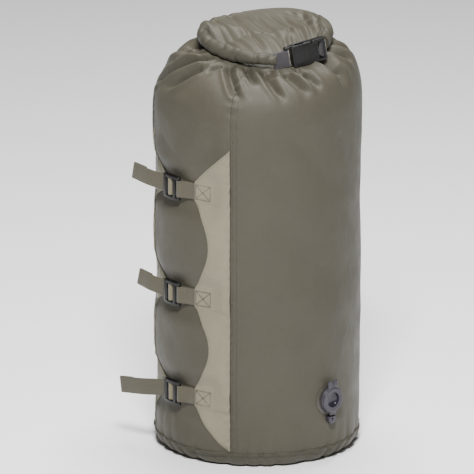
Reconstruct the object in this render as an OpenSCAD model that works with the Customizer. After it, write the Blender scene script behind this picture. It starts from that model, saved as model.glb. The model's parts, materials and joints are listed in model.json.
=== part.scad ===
// Waterproof roll-top stuff sack with a compression gusset.
// The sack stands on its base. The front faces -Y, and angles round the sack are
// azimuths from the front, positive towards +X.

/* [Sack] */
// Diameter of the filled sack
sack_d = 244; // [232:1:256]
// Height where the straight side ends and the shoulder begins
shoulder_z = 400; // [396:1:402]
// Thickness that the coated cloth is drawn with
cloth_t = 2; // [1.5:0.1:2.2]
// Radius of the rounded bottom edge
base_round = 14; // [10:1:16]
// Height of the base seam
base_seam_z = 17; // [16:0.5:19]

/* [Compression gusset] */
// Azimuth of the front seam of the gusset
front_seam_az = -15; // [-16:0.5:-14]
// Azimuth of the side seam of the gusset
side_seam_az = -81; // [-82:0.5:-80]
// How far each strap draws the cloth in
pinch = 6; // [5:0.25:6.5]
// Heights of the three compression straps
strap_z = [80, 202, 331];
// Width of one peak of a scalloped strap panel, in degrees from its seam
peak_span = 23; // [22:0.5:24]
// Width of one valley of a scalloped strap panel, in degrees from its seam
valley_span = 12.5; // [10:0.5:14]

/* [Webbing and ladder locks] */
// Width of the webbing
web_w = 20; // [19:0.5:20.5]
// Thickness of the webbing
web_t = 1.5; // [1.2:0.1:1.6]
// Length of a ladder lock along the strap
lock_l = 28; // [27.5:0.5:30]
// Width of a ladder lock across the strap
lock_w = 27; // [26.5:0.5:29]
// Azimuth of the ladder locks
lock_az = -54; // [-55:0.5:-53]
// Free length of each pull tail, from the bottom strap up
tail_l = [66, 40, 47];
// Upward slant of each pull tail in degrees, from the bottom strap up
tail_slant = [-7, 12, 10];
// Outward turn of a pull tail where it leaves its lock
tail_turn = 19; // [15:1:25]

/* [Closure] */
// Radius of the rolled mouth
roll_r = 10; // [9:0.5:10]
// Centre of the closed side-release buckle
buckle_at = [55.5, -61, 489];
// Heading of the buckle's length, from +X towards +Y
buckle_heading = 25; // [24:0.5:26]
// Upward pitch of the buckle's length
buckle_pitch = 9; // [8:0.5:10]
// Width of the buckle
buckle_w = 27; // [26.5:0.5:28]

/* [Air valve] */
// Azimuth of the valve
valve_az = 43.7; // [40:0.1:47]
// Height of the valve's centre
valve_z = 76; // [70:1:82]
// Diameter of the welded flange
flange_d = 39; // [37:0.5:40]
// Diameter of the bore that air goes through
valve_bore_d = 21.3; // [21.2:0.1:21.6]

/* [Hidden] */
$fn = 64;

// Colours
cloth_olive = [0.40, 0.39, 0.33];
panel_pale = [0.62, 0.60, 0.52];
web_olive = [0.46, 0.43, 0.35];
moulded_black = [0.10, 0.10, 0.10];
valve_grey = [0.30, 0.28, 0.32];

sack_r = sack_d / 2;
// Clearance between surfaces that lie on each other
gap = 0.3;
// Overlap used where one shape is cut from another
cut = 1;
// The straps lie on the drawn-in cloth at this radius
strap_r = sack_r - pinch;
panel_t = 0.8;
// The webbing lies on the drawn-in cloth, under the strap panels
web_low = gap;
// How far a strap panel stands off over the webbing that is sewn under it
panel_rise = web_t + gap;
// Lowest height of the parts that lie over a strap panel
lock_low = web_low + panel_rise + panel_t + 3 * gap;
// Half height of the flat part of a scallop's peak
peak_half = 12;
panel_top_z = 387;
panel_bottom_z = 19.5;

// Shoulder sections from the side up to the roll: radius, centre x, centre y,
// height at the front, on the right, at the back and on the left
shoulder = [
    [sack_r, 0, 0, shoulder_z, shoulder_z, shoulder_z, shoulder_z],
    [121, 0, 0, 416, 430, 418, 416],
    [118, 0, 0, 433, 449, 436, 431],
    [111, 1, -1, 446, 464, 450, 446],
    [101.5, 2, -3, 455, 474, 461, 459],
    [90, 4, -5, 460, 479, 470, 471],
    [79, 5, -7, 463, 480, 475, 480],
    [66, 6, -8, 461, 478, 476, 480],
    [55.5, 6, -9, 457, 472, 472, 474]
];
// The crown inside the ring: centre and radius
crown_at = [6, -9];
crown_r = 54.5;
crown_top_z = 512;
crown_low_z = 455;
// The side panels end just below the shoulder's lowest edge
side_top_z = shoulder_z - 2 * gap;
// The foot of the body cloth ends at this height, and the part of it that holds the
// valve spans this many degrees to each side of it
foot_top_z = 126;
valve_span = 28;

// Centre line of the rolled mouth, from its left end round the back to its right end
roll_route = [
    [22, -76.5, 485.5], [5, -77, 486.5], [-16, -72, 488], [-36, -61, 490.5],
    [-53, -43, 493.5], [-62, -20, 496], [-62, 6, 496], [-50, 32, 495],
    [-25, 51, 496], [5, 60, 498.5], [35, 58, 500.5], [58, 44, 500.5],
    [74, 22, 499], [79, -4, 497], [77, -26, 494.5], [75, -36, 493.5]
];

// ---- Geometry helpers ----

function clamp01(t) = min(1, max(0, t));
function smooth(t) = let (c = clamp01(t)) c * c * (3 - 2 * c);
function mix(a, b, t) = a + (b - a) * t;
// A point at azimuth az, radius r and height z
function around(az, r, z) = [r * sin(az), -r * cos(az), z];

// How strongly the straps draw the cloth in at a height and at an azimuth
function pinch_height(z) = max([for (s = strap_z) exp(-pow((z - s) / 26, 4))]);
function pinch_span(az) =
    smooth((az - side_seam_az - 0.5) / 5) * smooth((front_seam_az - 0.5 - az) / 12);
function gusset_r(az, z) = sack_r - pinch * pinch_height(z) * pinch_span(az);

// Two triangles for a four-cornered face
function quad(a, b, c, d) = [[a, b, c], [a, c, d]];

// A closed sheet between two grids of points with rows going up and columns going round
module sheet(outer, inner) {
    rows = len(outer);
    cols = len(outer[0]);
    n = rows * cols;
    points = concat([for (row = outer) each row], [for (row = inner) each row]);
    faces = concat(
        [for (i = [0:rows - 2], j = [0:cols - 2]) let (a = i * cols + j)
            each quad(a, a + cols, a + cols + 1, a + 1)],
        [for (i = [0:rows - 2], j = [0:cols - 2]) let (a = n + i * cols + j)
            each quad(a, a + 1, a + cols + 1, a + cols)],
        [for (j = [0:cols - 2]) each quad(j, j + 1, n + j + 1, n + j)],
        [for (j = [0:cols - 2]) let (a = n - cols + j)
            each quad(a + 1, a, n + a, n + a + 1)],
        [for (i = [0:rows - 2]) let (a = i * cols)
            each quad(a + cols, a, n + a, n + a + cols)],
        [for (i = [0:rows - 2]) let (a = i * cols + cols - 1)
            each quad(a, a + cols, n + a + cols, n + a)]
    );
    polyhedron(points, faces);
}

// A point of a Catmull-Rom curve through a route
function route_at(route, i, t) =
    let (
        n = len(route) - 1,
        p = route[i],
        q = route[i + 1],
        before = i > 0 ? route[i - 1] : 2 * p - q,
        after = i + 2 <= n ? route[i + 2] : 2 * q - p
    )
    0.5 * (2 * p + (q - before) * t
        + (2 * before - 5 * p + 4 * q - after) * t * t
        + (3 * p - before - 3 * q + after) * t * t * t);
function route_points(route, steps, first, last) = [
    for (i = [first:last - 1], k = [0:steps - 1]) route_at(route, i, k / steps),
    route[last]
];
function unit(v) = v / norm(v);
function tangent_at(path, i) =
    unit(path[min(i + 1, len(path) - 1)] - path[max(i - 1, 0)]);
// A section point placed square to the path: x goes outwards, y goes up
function placed(path, i, p) =
    let (t = tangent_at(path, i), side = unit(cross(t, [0, 0, 1])), up = cross(side, t))
    path[i] + p[0] * side + p[1] * up;
function ring_section(r, sides) =
    [for (k = [0:sides - 1]) let (a = 360 * k / sides) [r * cos(a), r * sin(a)]];

// A tube swept along a path, with the outer and the inner section as point lists
module swept_tube(path, outer, inner) {
    rings = len(path);
    m = len(outer);
    n = rings * m;
    points = concat(
        [for (i = [0:rings - 1], p = outer) placed(path, i, p)],
        [for (i = [0:rings - 1], p = inner) placed(path, i, p)]
    );
    last = (rings - 1) * m;
    faces = concat(
        [for (i = [0:rings - 2], j = [0:m - 1]) let (k = (j + 1) % m, a = i * m)
            each quad(a + j, a + m + j, a + m + k, a + k)],
        [for (i = [0:rings - 2], j = [0:m - 1]) let (k = (j + 1) % m, a = n + i * m)
            each quad(a + j, a + k, a + m + k, a + m + j)],
        [for (j = [0:m - 1]) let (k = (j + 1) % m) each quad(j, k, n + k, n + j)],
        [for (j = [0:m - 1]) let (k = (j + 1) % m)
            each quad(last + k, last + j, n + last + j, n + last + k)]
    );
    polyhedron(points, faces);
}

// A solid bar swept along a path
module swept_bar(path, section) {
    rings = len(path);
    m = len(section);
    points = [for (i = [0:rings - 1], p = section) placed(path, i, p)];
    last = (rings - 1) * m;
    faces = concat(
        [for (i = [0:rings - 2], j = [0:m - 1]) let (k = (j + 1) % m, a = i * m)
            each quad(a + j, a + m + j, a + m + k, a + k)],
        [[for (j = [0:m - 1]) j]],
        [[for (j = [m - 1:-1:0]) last + j]]
    );
    polyhedron(points, faces);
}

// A rectangle with rounded corners, centred
module round_rect(l, w, r) {
    square([l - 2 * r, w], center = true);
    square([l, w - 2 * r], center = true);
    for (x = [-1, 1], y = [-1, 1])
        translate([x * (l / 2 - r), y * (w / 2 - r)])
            circle(r);
}

// A block given by its lowest corner and its highest corner
module block(low, high) {
    translate(low)
        cube(high - low);
}

// ---- Cloth shell ----

// The shoulder's surface at an azimuth, at section k, moved inwards by depth
function shoulder_point(az, k, depth) =
    let (
        s = shoulder[k],
        lean = k / (len(shoulder) - 1),
        r = s[0] - depth * mix(1, 0.35, lean),
        drop = depth * mix(0.17, 0.7, lean)
    )
    [s[1] + r * sin(az), s[2] - r * cos(az), shoulder_height(az, s) - drop];
function shoulder_height(az, s) =
    let (ends = mix(s[5], s[3], (1 + cos(az)) / 2), side = sin(az) > 0 ? s[4] : s[6])
    mix(ends, side, pow(sin(az), 2));

// The shoulder as a sheet from the azimuth from_az to to_az
module shoulder_sheet(from_az, to_az, columns) {
    azimuths = [for (j = [0:columns]) mix(from_az, to_az, j / columns)];
    function rows(depth) = [for (k = [0:len(shoulder) - 1])
        [for (a = azimuths) shoulder_point(a, k, depth)]];
    color(cloth_olive)
        sheet(rows(0), rows(cloth_t));
}

// Straight part of the sack's side as a sector of a tube
module side_sector(from_az, to_az, r_out, t, z_low, z_high) {
    rotate([0, 0, from_az - 90])
        rotate_extrude(angle = to_az - from_az, $fn = 128)
            translate([r_out - t, z_low])
                square([t, z_high - z_low]);
}

// The crown is the cloth that rises inside the ring of the rolled mouth
function crown_profile(t, steps) = concat(
    [for (k = [0:steps]) let (a = 90 * k / steps)
        [(crown_r - t) * cos(a), crown_top_z - 22 - t + 22 * sin(a)]],
    [for (k = [steps:-1:0]) let (a = 90 * k / steps)
        [crown_r * cos(a), crown_top_z - 22 + 22 * sin(a)]],
    [[crown_r, crown_low_z], [crown_r - t, crown_low_z]]
);

module body_panel() {
    color(cloth_olive)
        side_sector(front_seam_az, side_seam_az + 360, sack_r, cloth_t, foot_top_z, side_top_z);
}

// A sector of the body cloth's foot, just below the body panel
module body_foot(from_az, to_az) {
    color(cloth_olive)
        side_sector(from_az, to_az, sack_r, cloth_t, base_seam_z, foot_top_z - gap);
}

module body_foot_front() {
    body_foot(front_seam_az, valve_az - valve_span - 0.1);
}

module body_foot_valve() {
    difference() {
        body_foot(valve_az - valve_span, valve_az + valve_span);
        on_valve()
            cylinder(h = 40, r = valve_neck_r + gap, center = true);
    }
}

module body_foot_back() {
    body_foot(valve_az + valve_span + 0.1, side_seam_az + 360);
}

module shoulder_panel() {
    shoulder_sheet(front_seam_az, side_seam_az + 360, 49);
}

module crown_panel() {
    color(cloth_olive)
        translate(crown_at)
            rotate_extrude($fn = 96)
                polygon(crown_profile(cloth_t, 9));
}

gusset_low_az = side_seam_az + 0.2;
gusset_high_az = front_seam_az - 0.2;

module gusset_panel() {
    columns = 14;
    rows = 46;
    heights = [for (i = [0:rows]) mix(base_seam_z, side_top_z, i / rows)];
    azimuths = [for (j = [0:columns]) mix(gusset_low_az, gusset_high_az, j / columns)];
    color(cloth_olive)
        sheet(
            [for (z = heights) [for (a = azimuths) around(a, gusset_r(a, z), z)]],
            [for (z = heights) [for (a = azimuths) around(a, gusset_r(a, z) - cloth_t, z)]]
        );
}

module gusset_shoulder() {
    shoulder_sheet(gusset_low_az, gusset_high_az, 9);
}

module base_panel() {
    outer_r = sack_r - 0.5;
    centre_r = outer_r - base_round;
    steps = 8;
    color(cloth_olive)
        rotate_extrude($fn = 128)
            polygon(concat(
                [[0, 0]],
                [for (k = [0:steps]) let (a = -90 + 90 * k / steps)
                    [centre_r + base_round * cos(a), base_round + base_round * sin(a)]],
                [[outer_r, base_seam_z - gap], [outer_r - cloth_t, base_seam_z - gap]],
                [for (k = [steps:-1:0]) let (a = -90 + 90 * k / steps)
                    [centre_r + (base_round - cloth_t) * cos(a),
                        base_round + (base_round - cloth_t) * sin(a)]],
                [[0, cloth_t]]
            ));
}

// The narrow strip that covers the seam between the side and the base
module base_seam_binding() {
    color(cloth_olive)
        rotate_extrude($fn = 128)
            translate([sack_r + gap, base_seam_z - 3.5])
                square([0.8, 5]);
}

// A tape welded inside over the seam at az, following the drawn-in cloth
module seam_tape(az) {
    half_span = 4.5;
    rows = 46;
    heights = [for (i = [1:rows - 1]) mix(base_seam_z, shoulder_z, i / rows)];
    function layer(depth) = [for (z = heights) [for (j = [-2:2])
        let (a = az + half_span * j / 2) around(a, gusset_r(a, z) - cloth_t - depth, z)]];
    color(valve_grey)
        sheet(layer(5 * gap), layer(5 * gap + 0.6));
}

// Width of a scalloped strap panel in degrees, measured from its seam
function scallop(z) =
    z >= panel_top_z ? 0
    : z > strap_z[2] + peak_half
        ? peak_span * (panel_top_z - z) / (panel_top_z - strap_z[2] - peak_half)
    : z < strap_z[0] - peak_half
        ? peak_span * pow(clamp01((z - panel_bottom_z)
            / (strap_z[0] - peak_half - panel_bottom_z)), 0.8)
    : let (
        i = z > strap_z[1] ? 1 : 0,
        low = strap_z[i] + peak_half,
        high = strap_z[i + 1] - peak_half,
        t = clamp01((z - low) / (high - low))
    )
    mix(peak_span, valley_span, pow(sin(180 * t), 0.9));

// 1 where a strap panel lies over webbing, 0 away from it
function over_web(z) = max([for (s = strap_z) exp(-pow((z - s) / 15, 10))]);

// A strap panel from its seam at seam_az, growing in the direction dir (1 or -1)
module strap_panel(seam_az, dir) {
    rows = 60;
    columns = 6;
    heights = [for (i = [0:rows]) mix(panel_bottom_z, panel_top_z, i / rows)];
    function az_of(z, j) =
        let (width = max(0.5, scallop(z)), k = dir > 0 ? j : columns - j)
        seam_az + dir * (0.3 + width * k / columns);
    function layer(offset) = [for (z = heights) [for (j = [0:columns])
        let (a = az_of(z, j)) around(a, gusset_r(a, z) + offset + panel_rise * over_web(z), z)]];
    color(panel_pale)
        sheet(layer(gap + panel_t), layer(gap));
}

module front_strap_panel() {
    strap_panel(front_seam_az, -1);
}

module side_strap_panel() {
    strap_panel(side_seam_az, 1);
}

// ---- Rolled mouth and its buckle ----

module closure_roll() {
    path = route_points(roll_route, 3, 0, len(roll_route) - 1);
    color(cloth_olive)
        swept_tube(path, ring_section(roll_r, 12), ring_section(roll_r - 3.5, 12));
}

// The springy strip that the mouth is rolled round
module mouth_stiffener() {
    path = route_points(roll_route, 3, 1, len(roll_route) - 2);
    color(moulded_black)
        swept_bar(path, [[0.6, -4], [0.6, 4], [-0.6, 4], [-0.6, -4]]);
}

// Places children in the buckle's own axes: x along it, y inwards, z up its width
module on_buckle() {
    translate(buckle_at)
        rotate([0, 0, buckle_heading])
            rotate([0, -buckle_pitch, 0])
                children();
}

bar_r = 1.5;
loop_in_r = bar_r + gap;
loop_out_r = loop_in_r + web_t;
socket_bar_x = -24.5;
plug_bar_x = 23.7;
socket_mouth_x = 8;
socket_back_x = -18;
// The side windows, between the back and the cheeks
window_low_x = -12;
window_high_x = -2;
cavity_half_z = 11;
cavity_half_y = 3;

// A flat strip of webbing that ends in a loop round a bar at the origin;
// the strip leaves towards -x and the bar runs along z
module webbing_loop(strip_l, w) {
    translate([0, 0, -w / 2]) {
        difference() {
            union() {
                cylinder(h = w, r = loop_out_r);
                block([-strip_l, -web_t, 0], [0, web_t, w]);
            }
            translate([0, 0, -cut])
                cylinder(h = w + 2 * cut, r = loop_in_r);
        }
    }
}

module closure_web_left() {
    color(web_olive)
        on_buckle()
            translate([socket_bar_x, 0, 0])
                webbing_loop(9.5, web_w);
}

module closure_web_right() {
    color(web_olive)
        on_buckle()
            translate([plug_bar_x, 0, 0])
                rotate([0, 0, -90])
                    webbing_loop(8, web_w);
}

// The end of the right webbing that is sewn into the roll
module closure_tab_right() {
    end = roll_route[len(roll_route) - 1];
    color(web_olive)
        block([end[0] - 1.5, end[1] - 4, end[2] - 8], [end[0] + 1.5, end[1] - 1.6, end[2] + 8]);
}

// The outline of the socket's moulding, from y = low_y to high_y
module socket_slab(low_y, high_y) {
    translate([(socket_mouth_x + socket_back_x) / 2, (low_y + high_y) / 2, 0])
        rotate([90, 0, 0])
            linear_extrude(height = high_y - low_y, center = true)
                round_rect(socket_mouth_x - socket_back_x, buckle_w, 2.5);
}

// Back of the socket: its wall, its two rails and the bar for the webbing
module buckle_socket() {
    rail_in_z = web_w / 2 + 0.5;
    color(moulded_black)
        on_buckle() {
            difference() {
                union() {
                    intersection() {
                        socket_slab(-cavity_half_y, cavity_half_y);
                        block([socket_back_x, -10, -buckle_w], [window_low_x, 10, buckle_w]);
                    }
                    for (s = [-1, 1])
                        block([socket_bar_x - bar_r, -2.5, s > 0 ? rail_in_z : -buckle_w / 2],
                            [-15, 2.5, s > 0 ? buckle_w / 2 : -rail_in_z]);
                }
                block([socket_back_x + 2, -10, -cavity_half_z], [0, 10, cavity_half_z]);
            }
            translate([socket_bar_x, 0, -buckle_w / 2])
                cylinder(h = buckle_w, r = bar_r);
        }
}

// Outer and inner face of the socket
module socket_face(low_y) {
    color(moulded_black)
        on_buckle()
            socket_slab(low_y, low_y + 2);
}

module socket_face_outer() {
    socket_face(-cavity_half_y - 2);
}

module socket_face_inner() {
    socket_face(cavity_half_y);
}

// The block beside the socket's mouth that an arm's catch springs out behind,
// on the side s of the socket (1 up, -1 down)
module socket_cheek(s) {
    color(moulded_black)
        on_buckle()
            intersection() {
                socket_slab(-cavity_half_y, cavity_half_y);
                block([window_high_x, -10, s > 0 ? cavity_half_z : -buckle_w],
                    [buckle_w, 10, s > 0 ? buckle_w : -cavity_half_z]);
            }
}

module socket_cheek_upper() {
    socket_cheek(1);
}

module socket_cheek_lower() {
    socket_cheek(-1);
}

module buckle_plug() {
    plate_low_x = socket_mouth_x + gap;
    slot_in_z = web_w / 2 + 0.5;
    color(moulded_black)
        on_buckle() {
            difference() {
                translate([(plate_low_x + plug_bar_x) / 2, 0, 0])
                    rotate([90, 0, 0])
                        linear_extrude(height = 8, center = true)
                            round_rect(plug_bar_x - plate_low_x, buckle_w, 1.5);
                block([15.5, -10, -slot_in_z], [plug_bar_x + cut, 10, slot_in_z]);
            }
            translate([plug_bar_x, 0, -buckle_w / 2])
                cylinder(h = buckle_w, r = bar_r);
            // Guide tongue between the arms
            block([-10, -2.2, -2.5], [plate_low_x + cut, 2.2, 2.5]);
        }
}

arm_pivot_x = 7.4;
arm_pivot_z = 8;

// A sprung arm with its catch, on the side s of the plug (1 up, -1 down)
module buckle_arm(s) {
    color(moulded_black)
        on_buckle()
            rotate([90, 0, 0])
                linear_extrude(height = 5, center = true)
                    mirror([0, s > 0 ? 0 : 1])
                        polygon([
                            [arm_pivot_x, 6.8], [arm_pivot_x, 9.4], [-2.2, 9.6], [-2.8, 10.7],
                            [-7, 10.6], [-11, 9.2], [-12.5, 7.2], [-11.5, 6.6]
                        ]);
}

module buckle_arm_upper() {
    buckle_arm(1);
}

module buckle_arm_lower() {
    buckle_arm(-1);
}

// ---- Compression straps ----

// Places children on the strap i at the ladder lock: x along the strap towards the
// front, y up, z outwards from the drawn-in cloth
module on_strap(i) {
    rotate([0, 0, lock_az])
        translate([0, -strap_r, strap_z[i]])
            rotate([90, 0, 0])
                children();
}

// An arc of webbing lying on the drawn-in cloth
module webbing_arc(i, from_az, to_az, low, t) {
    side_sector(from_az, to_az, strap_r + low + t, t,
        strap_z[i] - web_w / 2, strap_z[i] + web_w / 2);
}

anchor_bar_x = lock_l / 2 - 1.6;
anchor_loop_r = bar_r + gap + 0.1 + web_t;
anchor_bar_z = lock_low + 1.9;
cross_bar_x = -1;
cross_bar_z = lock_low + loop_out_r;
rail_low = lock_low + 0.2;
rail_high = rail_low + 4.8;
toe_low = lock_low + web_t + 2 * gap;

// Sewn under the front strap panel, and looped round the lock's bar
module anchor_web(i) {
    loop_az = lock_az + asin((anchor_bar_x - 1) / strap_r);
    edge_az = front_seam_az - peak_span - 0.6;
    sewn_az = edge_az + 11;
    color(web_olive) {
        webbing_arc(i, loop_az, edge_az, web_low, 2 * web_t);
        webbing_arc(i, loop_az, sewn_az, web_low, web_t);
        on_strap(i)
            translate([anchor_bar_x, 0, anchor_bar_z])
                rotate([90, 0, 0])
                    difference() {
                        cylinder(h = web_w, r = anchor_loop_r, center = true);
                        cylinder(h = web_w + cut, r = anchor_loop_r - web_t, center = true);
                    }
    }
}

// Sewn under the side strap panel and laid flat under the lock
module adjuster_web(i) {
    sewn_az = side_seam_az + peak_span - 11;
    end_az = lock_az + asin((cross_bar_x + 2) / strap_r);
    color(web_olive)
        webbing_arc(i, sewn_az, end_az, web_low, web_t);
}

module ladder_lock(i) {
    rail_w = (lock_w - web_w - 1) / 2;
    toe_l = 4.2;
    color(moulded_black)
        on_strap(i) {
            difference() {
                translate([-0.8, 0, rail_low])
                    linear_extrude(height = rail_high - rail_low)
                        round_rect(lock_l - 1.6, lock_w, 3);
                block([toe_l - lock_l / 2, -lock_w / 2 + rail_w, rail_low - cut],
                    [lock_l, lock_w / 2 - rail_w, rail_high + cut]);
                block([-lock_l, -lock_w / 2 + rail_w, rail_low - cut],
                    [toe_l + cut - lock_l / 2, lock_w / 2 - rail_w, toe_low]);
            }
            for (bar = [[anchor_bar_x, anchor_bar_z], [cross_bar_x, cross_bar_z]])
                translate([bar[0], 0, bar[1]])
                    rotate([90, 0, 0])
                        cylinder(h = lock_w - 2, r = bar_r, center = true);
        }
}

// The turn of the adjuster webbing round the lock's cross bar, down to the toe
module lock_wrap(i) {
    strip_low = lock_low + gap / 2;
    color(web_olive)
        on_strap(i)
            difference() {
                union() {
                    translate([cross_bar_x, 0, cross_bar_z])
                        rotate([90, 0, 0])
                            cylinder(h = web_w, r = loop_out_r, center = true);
                    block([2.4 - lock_l / 2, -web_w / 2, strip_low],
                        [cross_bar_x, web_w / 2, strip_low + web_t]);
                }
                translate([cross_bar_x, 0, cross_bar_z])
                    rotate([90, 0, 0])
                        cylinder(h = web_w + cut, r = loop_in_r, center = true);
            }
}

tail_pivot_x = -lock_l / 2 - 0.6;
tail_pivot_z = lock_low + web_t / 2 + 0.15;

// The loose end that is pulled to tighten the strap, with its folded hem
module pull_tail(i) {
    hem_l = 17;
    color(web_olive)
        on_strap(i)
            translate([tail_pivot_x, 0, tail_pivot_z])
                rotate([0, tail_turn, 0])
                    rotate([0, 0, -tail_slant[i]]) {
                        block([-tail_l[i], -web_w / 2, -web_t / 2], [-0.6, web_w / 2, web_t / 2]);
                        block([-tail_l[i], -web_w / 2, -web_t / 2 - 1.2],
                            [hem_l - tail_l[i], web_w / 2, web_t / 2 + 0.4]);
                    }
}

module anchor_web_1() { anchor_web(0); }
module anchor_web_2() { anchor_web(1); }
module anchor_web_3() { anchor_web(2); }
module adjuster_web_1() { adjuster_web(0); }
module adjuster_web_2() { adjuster_web(1); }
module adjuster_web_3() { adjuster_web(2); }
module ladder_lock_1() { ladder_lock(0); }
module ladder_lock_2() { ladder_lock(1); }
module ladder_lock_3() { ladder_lock(2); }
module lock_wrap_1() { lock_wrap(0); }
module lock_wrap_2() { lock_wrap(1); }
module lock_wrap_3() { lock_wrap(2); }
module pull_tail_1() { pull_tail(0); }
module pull_tail_2() { pull_tail(1); }
module pull_tail_3() { pull_tail(2); }

// ---- Air valve ----

// Places children at the valve: x round the sack, y up, z outwards from the axis
module on_valve() {
    rotate([0, 0, valve_az])
        translate([0, 0, valve_z])
            rotate([90, 0, 0])
                translate([0, 0, sack_r])
                    children();
}

valve_neck_r = 12;
seat_r = 15.5;
seat_low = 1.6;
seat_high = 5;
cap_low = seat_high + gap;
cap_high = cap_low + 2.6;
valve_hinge_y = -19;
valve_hinge_z = cap_low + 1;

module valve_flange() {
    color(valve_grey)
        intersection() {
            rotate([0, 0, valve_az - 105])
                rotate_extrude(angle = 30, $fn = 128)
                    translate([sack_r + gap, valve_z - flange_d])
                        square([0.9, 2 * flange_d]);
            on_valve()
                difference() {
                    cylinder(h = 20, d = flange_d, center = true);
                    cylinder(h = 22, r = valve_neck_r + gap, center = true);
                }
        }
}

module valve_seat() {
    color(valve_grey)
        on_valve()
            difference() {
                union() {
                    translate([0, 0, seat_low])
                        cylinder(h = seat_high - seat_low, r = seat_r);
                    translate([0, 0, -7])
                        cylinder(h = 7 + seat_low + cut, r = valve_neck_r);
                    translate([0, 0, -6.5])
                        cylinder(h = 2, r = seat_r - 0.5);
                }
                translate([0, 0, -10])
                    cylinder(h = 30, d = valve_bore_d);
            }
}

// One-way flap behind the bore
module valve_flap() {
    color(valve_grey)
        on_valve()
            translate([0, 0, -8.4])
                cylinder(h = 0.8, r = valve_neck_r + 0.5);
}

module valve_cap() {
    plug_r = valve_bore_d / 2 - 0.45;
    cup_r = 9.2;
    plug_low = seat_high - 3;
    tab_w = 15;
    color(valve_grey)
        on_valve() {
            difference() {
                union() {
                    translate([0, 0, cap_low])
                        cylinder(h = cap_high - cap_low - 0.8, r = seat_r);
                    translate([0, 0, cap_low])
                        cylinder(h = cap_high - cap_low, r = seat_r - 1.2);
                    translate([0, 0, plug_low])
                        cylinder(h = cap_low - plug_low + cut, r = plug_r);
                    // Forked pull tab at the top
                    difference() {
                        block([-tab_w / 2, 11, cap_low], [tab_w / 2, 24, cap_low + 2]);
                        block([-1.6, 18, 0], [1.6, 30, 20]);
                    }
                    // Strap down to the living hinge
                    block([-5.5, valve_hinge_y + 0.6, cap_low], [5.5, -11, cap_low + 2]);
                }
                translate([0, 0, plug_low + 1.2])
                    cylinder(h = 20, r = cup_r);
            }
        }
}

// Fixed end of the cap's strap, welded to the cloth below the flange
module valve_lug() {
    low_y = -24;
    color(valve_grey)
        on_valve()
            difference() {
                union() {
                    block([-5.5, low_y, 0.6], [5.5, valve_hinge_y - 1.4, cap_low + 1.2]);
                    intersection() {
                        translate([0, low_y, 0.6])
                            cylinder(h = cap_low + 0.6, r = 5.5);
                        block([-6, low_y - 6, 0], [6, low_y + cut, 20]);
                    }
                }
                translate([0, low_y + 0.5, -cut])
                    cylinder(h = 20, r = 1.25);
            }
}

// ---- Assembly ----

body_panel();
body_foot_front();
body_foot_valve();
body_foot_back();
shoulder_panel();
crown_panel();
gusset_panel();
gusset_shoulder();
base_panel();
base_seam_binding();
seam_tape(front_seam_az);  // front_seam_tape
seam_tape(side_seam_az);  // side_seam_tape
front_strap_panel();
side_strap_panel();
closure_roll();
mouth_stiffener();
closure_web_left();
closure_tab_right();
closure_web_right();
buckle_socket();
socket_face_outer();
socket_face_inner();
socket_cheek_upper();
socket_cheek_lower();
buckle_plug();
buckle_arm_upper();
buckle_arm_lower();
anchor_web_1();
anchor_web_2();
anchor_web_3();
adjuster_web_1();
adjuster_web_2();
adjuster_web_3();
ladder_lock_1();
ladder_lock_2();
ladder_lock_3();
lock_wrap_1();
lock_wrap_2();
lock_wrap_3();
pull_tail_1();
pull_tail_2();
pull_tail_3();
valve_flange();
valve_seat();
valve_flap();
valve_cap();
valve_lug();
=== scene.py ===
"""Waterproof roll-top stuff sack: the looks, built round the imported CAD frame."""

import json
import math
import random

import bpy
import bmesh
import numpy as np
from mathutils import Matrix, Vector


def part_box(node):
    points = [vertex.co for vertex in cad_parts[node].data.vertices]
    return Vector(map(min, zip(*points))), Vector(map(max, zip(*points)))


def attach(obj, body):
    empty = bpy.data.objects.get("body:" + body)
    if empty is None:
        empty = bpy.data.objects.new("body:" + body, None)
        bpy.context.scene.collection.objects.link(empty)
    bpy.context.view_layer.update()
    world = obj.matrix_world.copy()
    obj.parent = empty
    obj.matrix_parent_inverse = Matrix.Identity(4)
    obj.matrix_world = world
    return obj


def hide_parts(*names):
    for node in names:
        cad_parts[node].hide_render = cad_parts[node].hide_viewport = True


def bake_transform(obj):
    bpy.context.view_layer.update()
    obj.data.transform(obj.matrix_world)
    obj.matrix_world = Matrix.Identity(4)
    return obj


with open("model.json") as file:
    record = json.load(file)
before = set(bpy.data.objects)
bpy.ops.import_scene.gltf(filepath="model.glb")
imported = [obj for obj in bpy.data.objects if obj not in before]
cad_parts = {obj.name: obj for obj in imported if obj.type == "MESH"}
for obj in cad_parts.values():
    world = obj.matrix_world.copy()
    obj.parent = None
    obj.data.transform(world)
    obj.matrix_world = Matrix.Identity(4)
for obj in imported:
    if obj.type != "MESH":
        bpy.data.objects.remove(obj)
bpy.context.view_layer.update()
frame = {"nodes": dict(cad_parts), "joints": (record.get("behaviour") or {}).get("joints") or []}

MM = 0.001
rng = random.Random(7)


# ---------------------------------------------------------------- sizes from the frame

def middle(node):
    """The middle of a CAD node's box."""
    low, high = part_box(node)
    return (low + high) / 2


def joint(name):
    """The frame's joint of that name."""
    return next(j for j in frame["joints"] if j["name"] == name)


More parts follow.
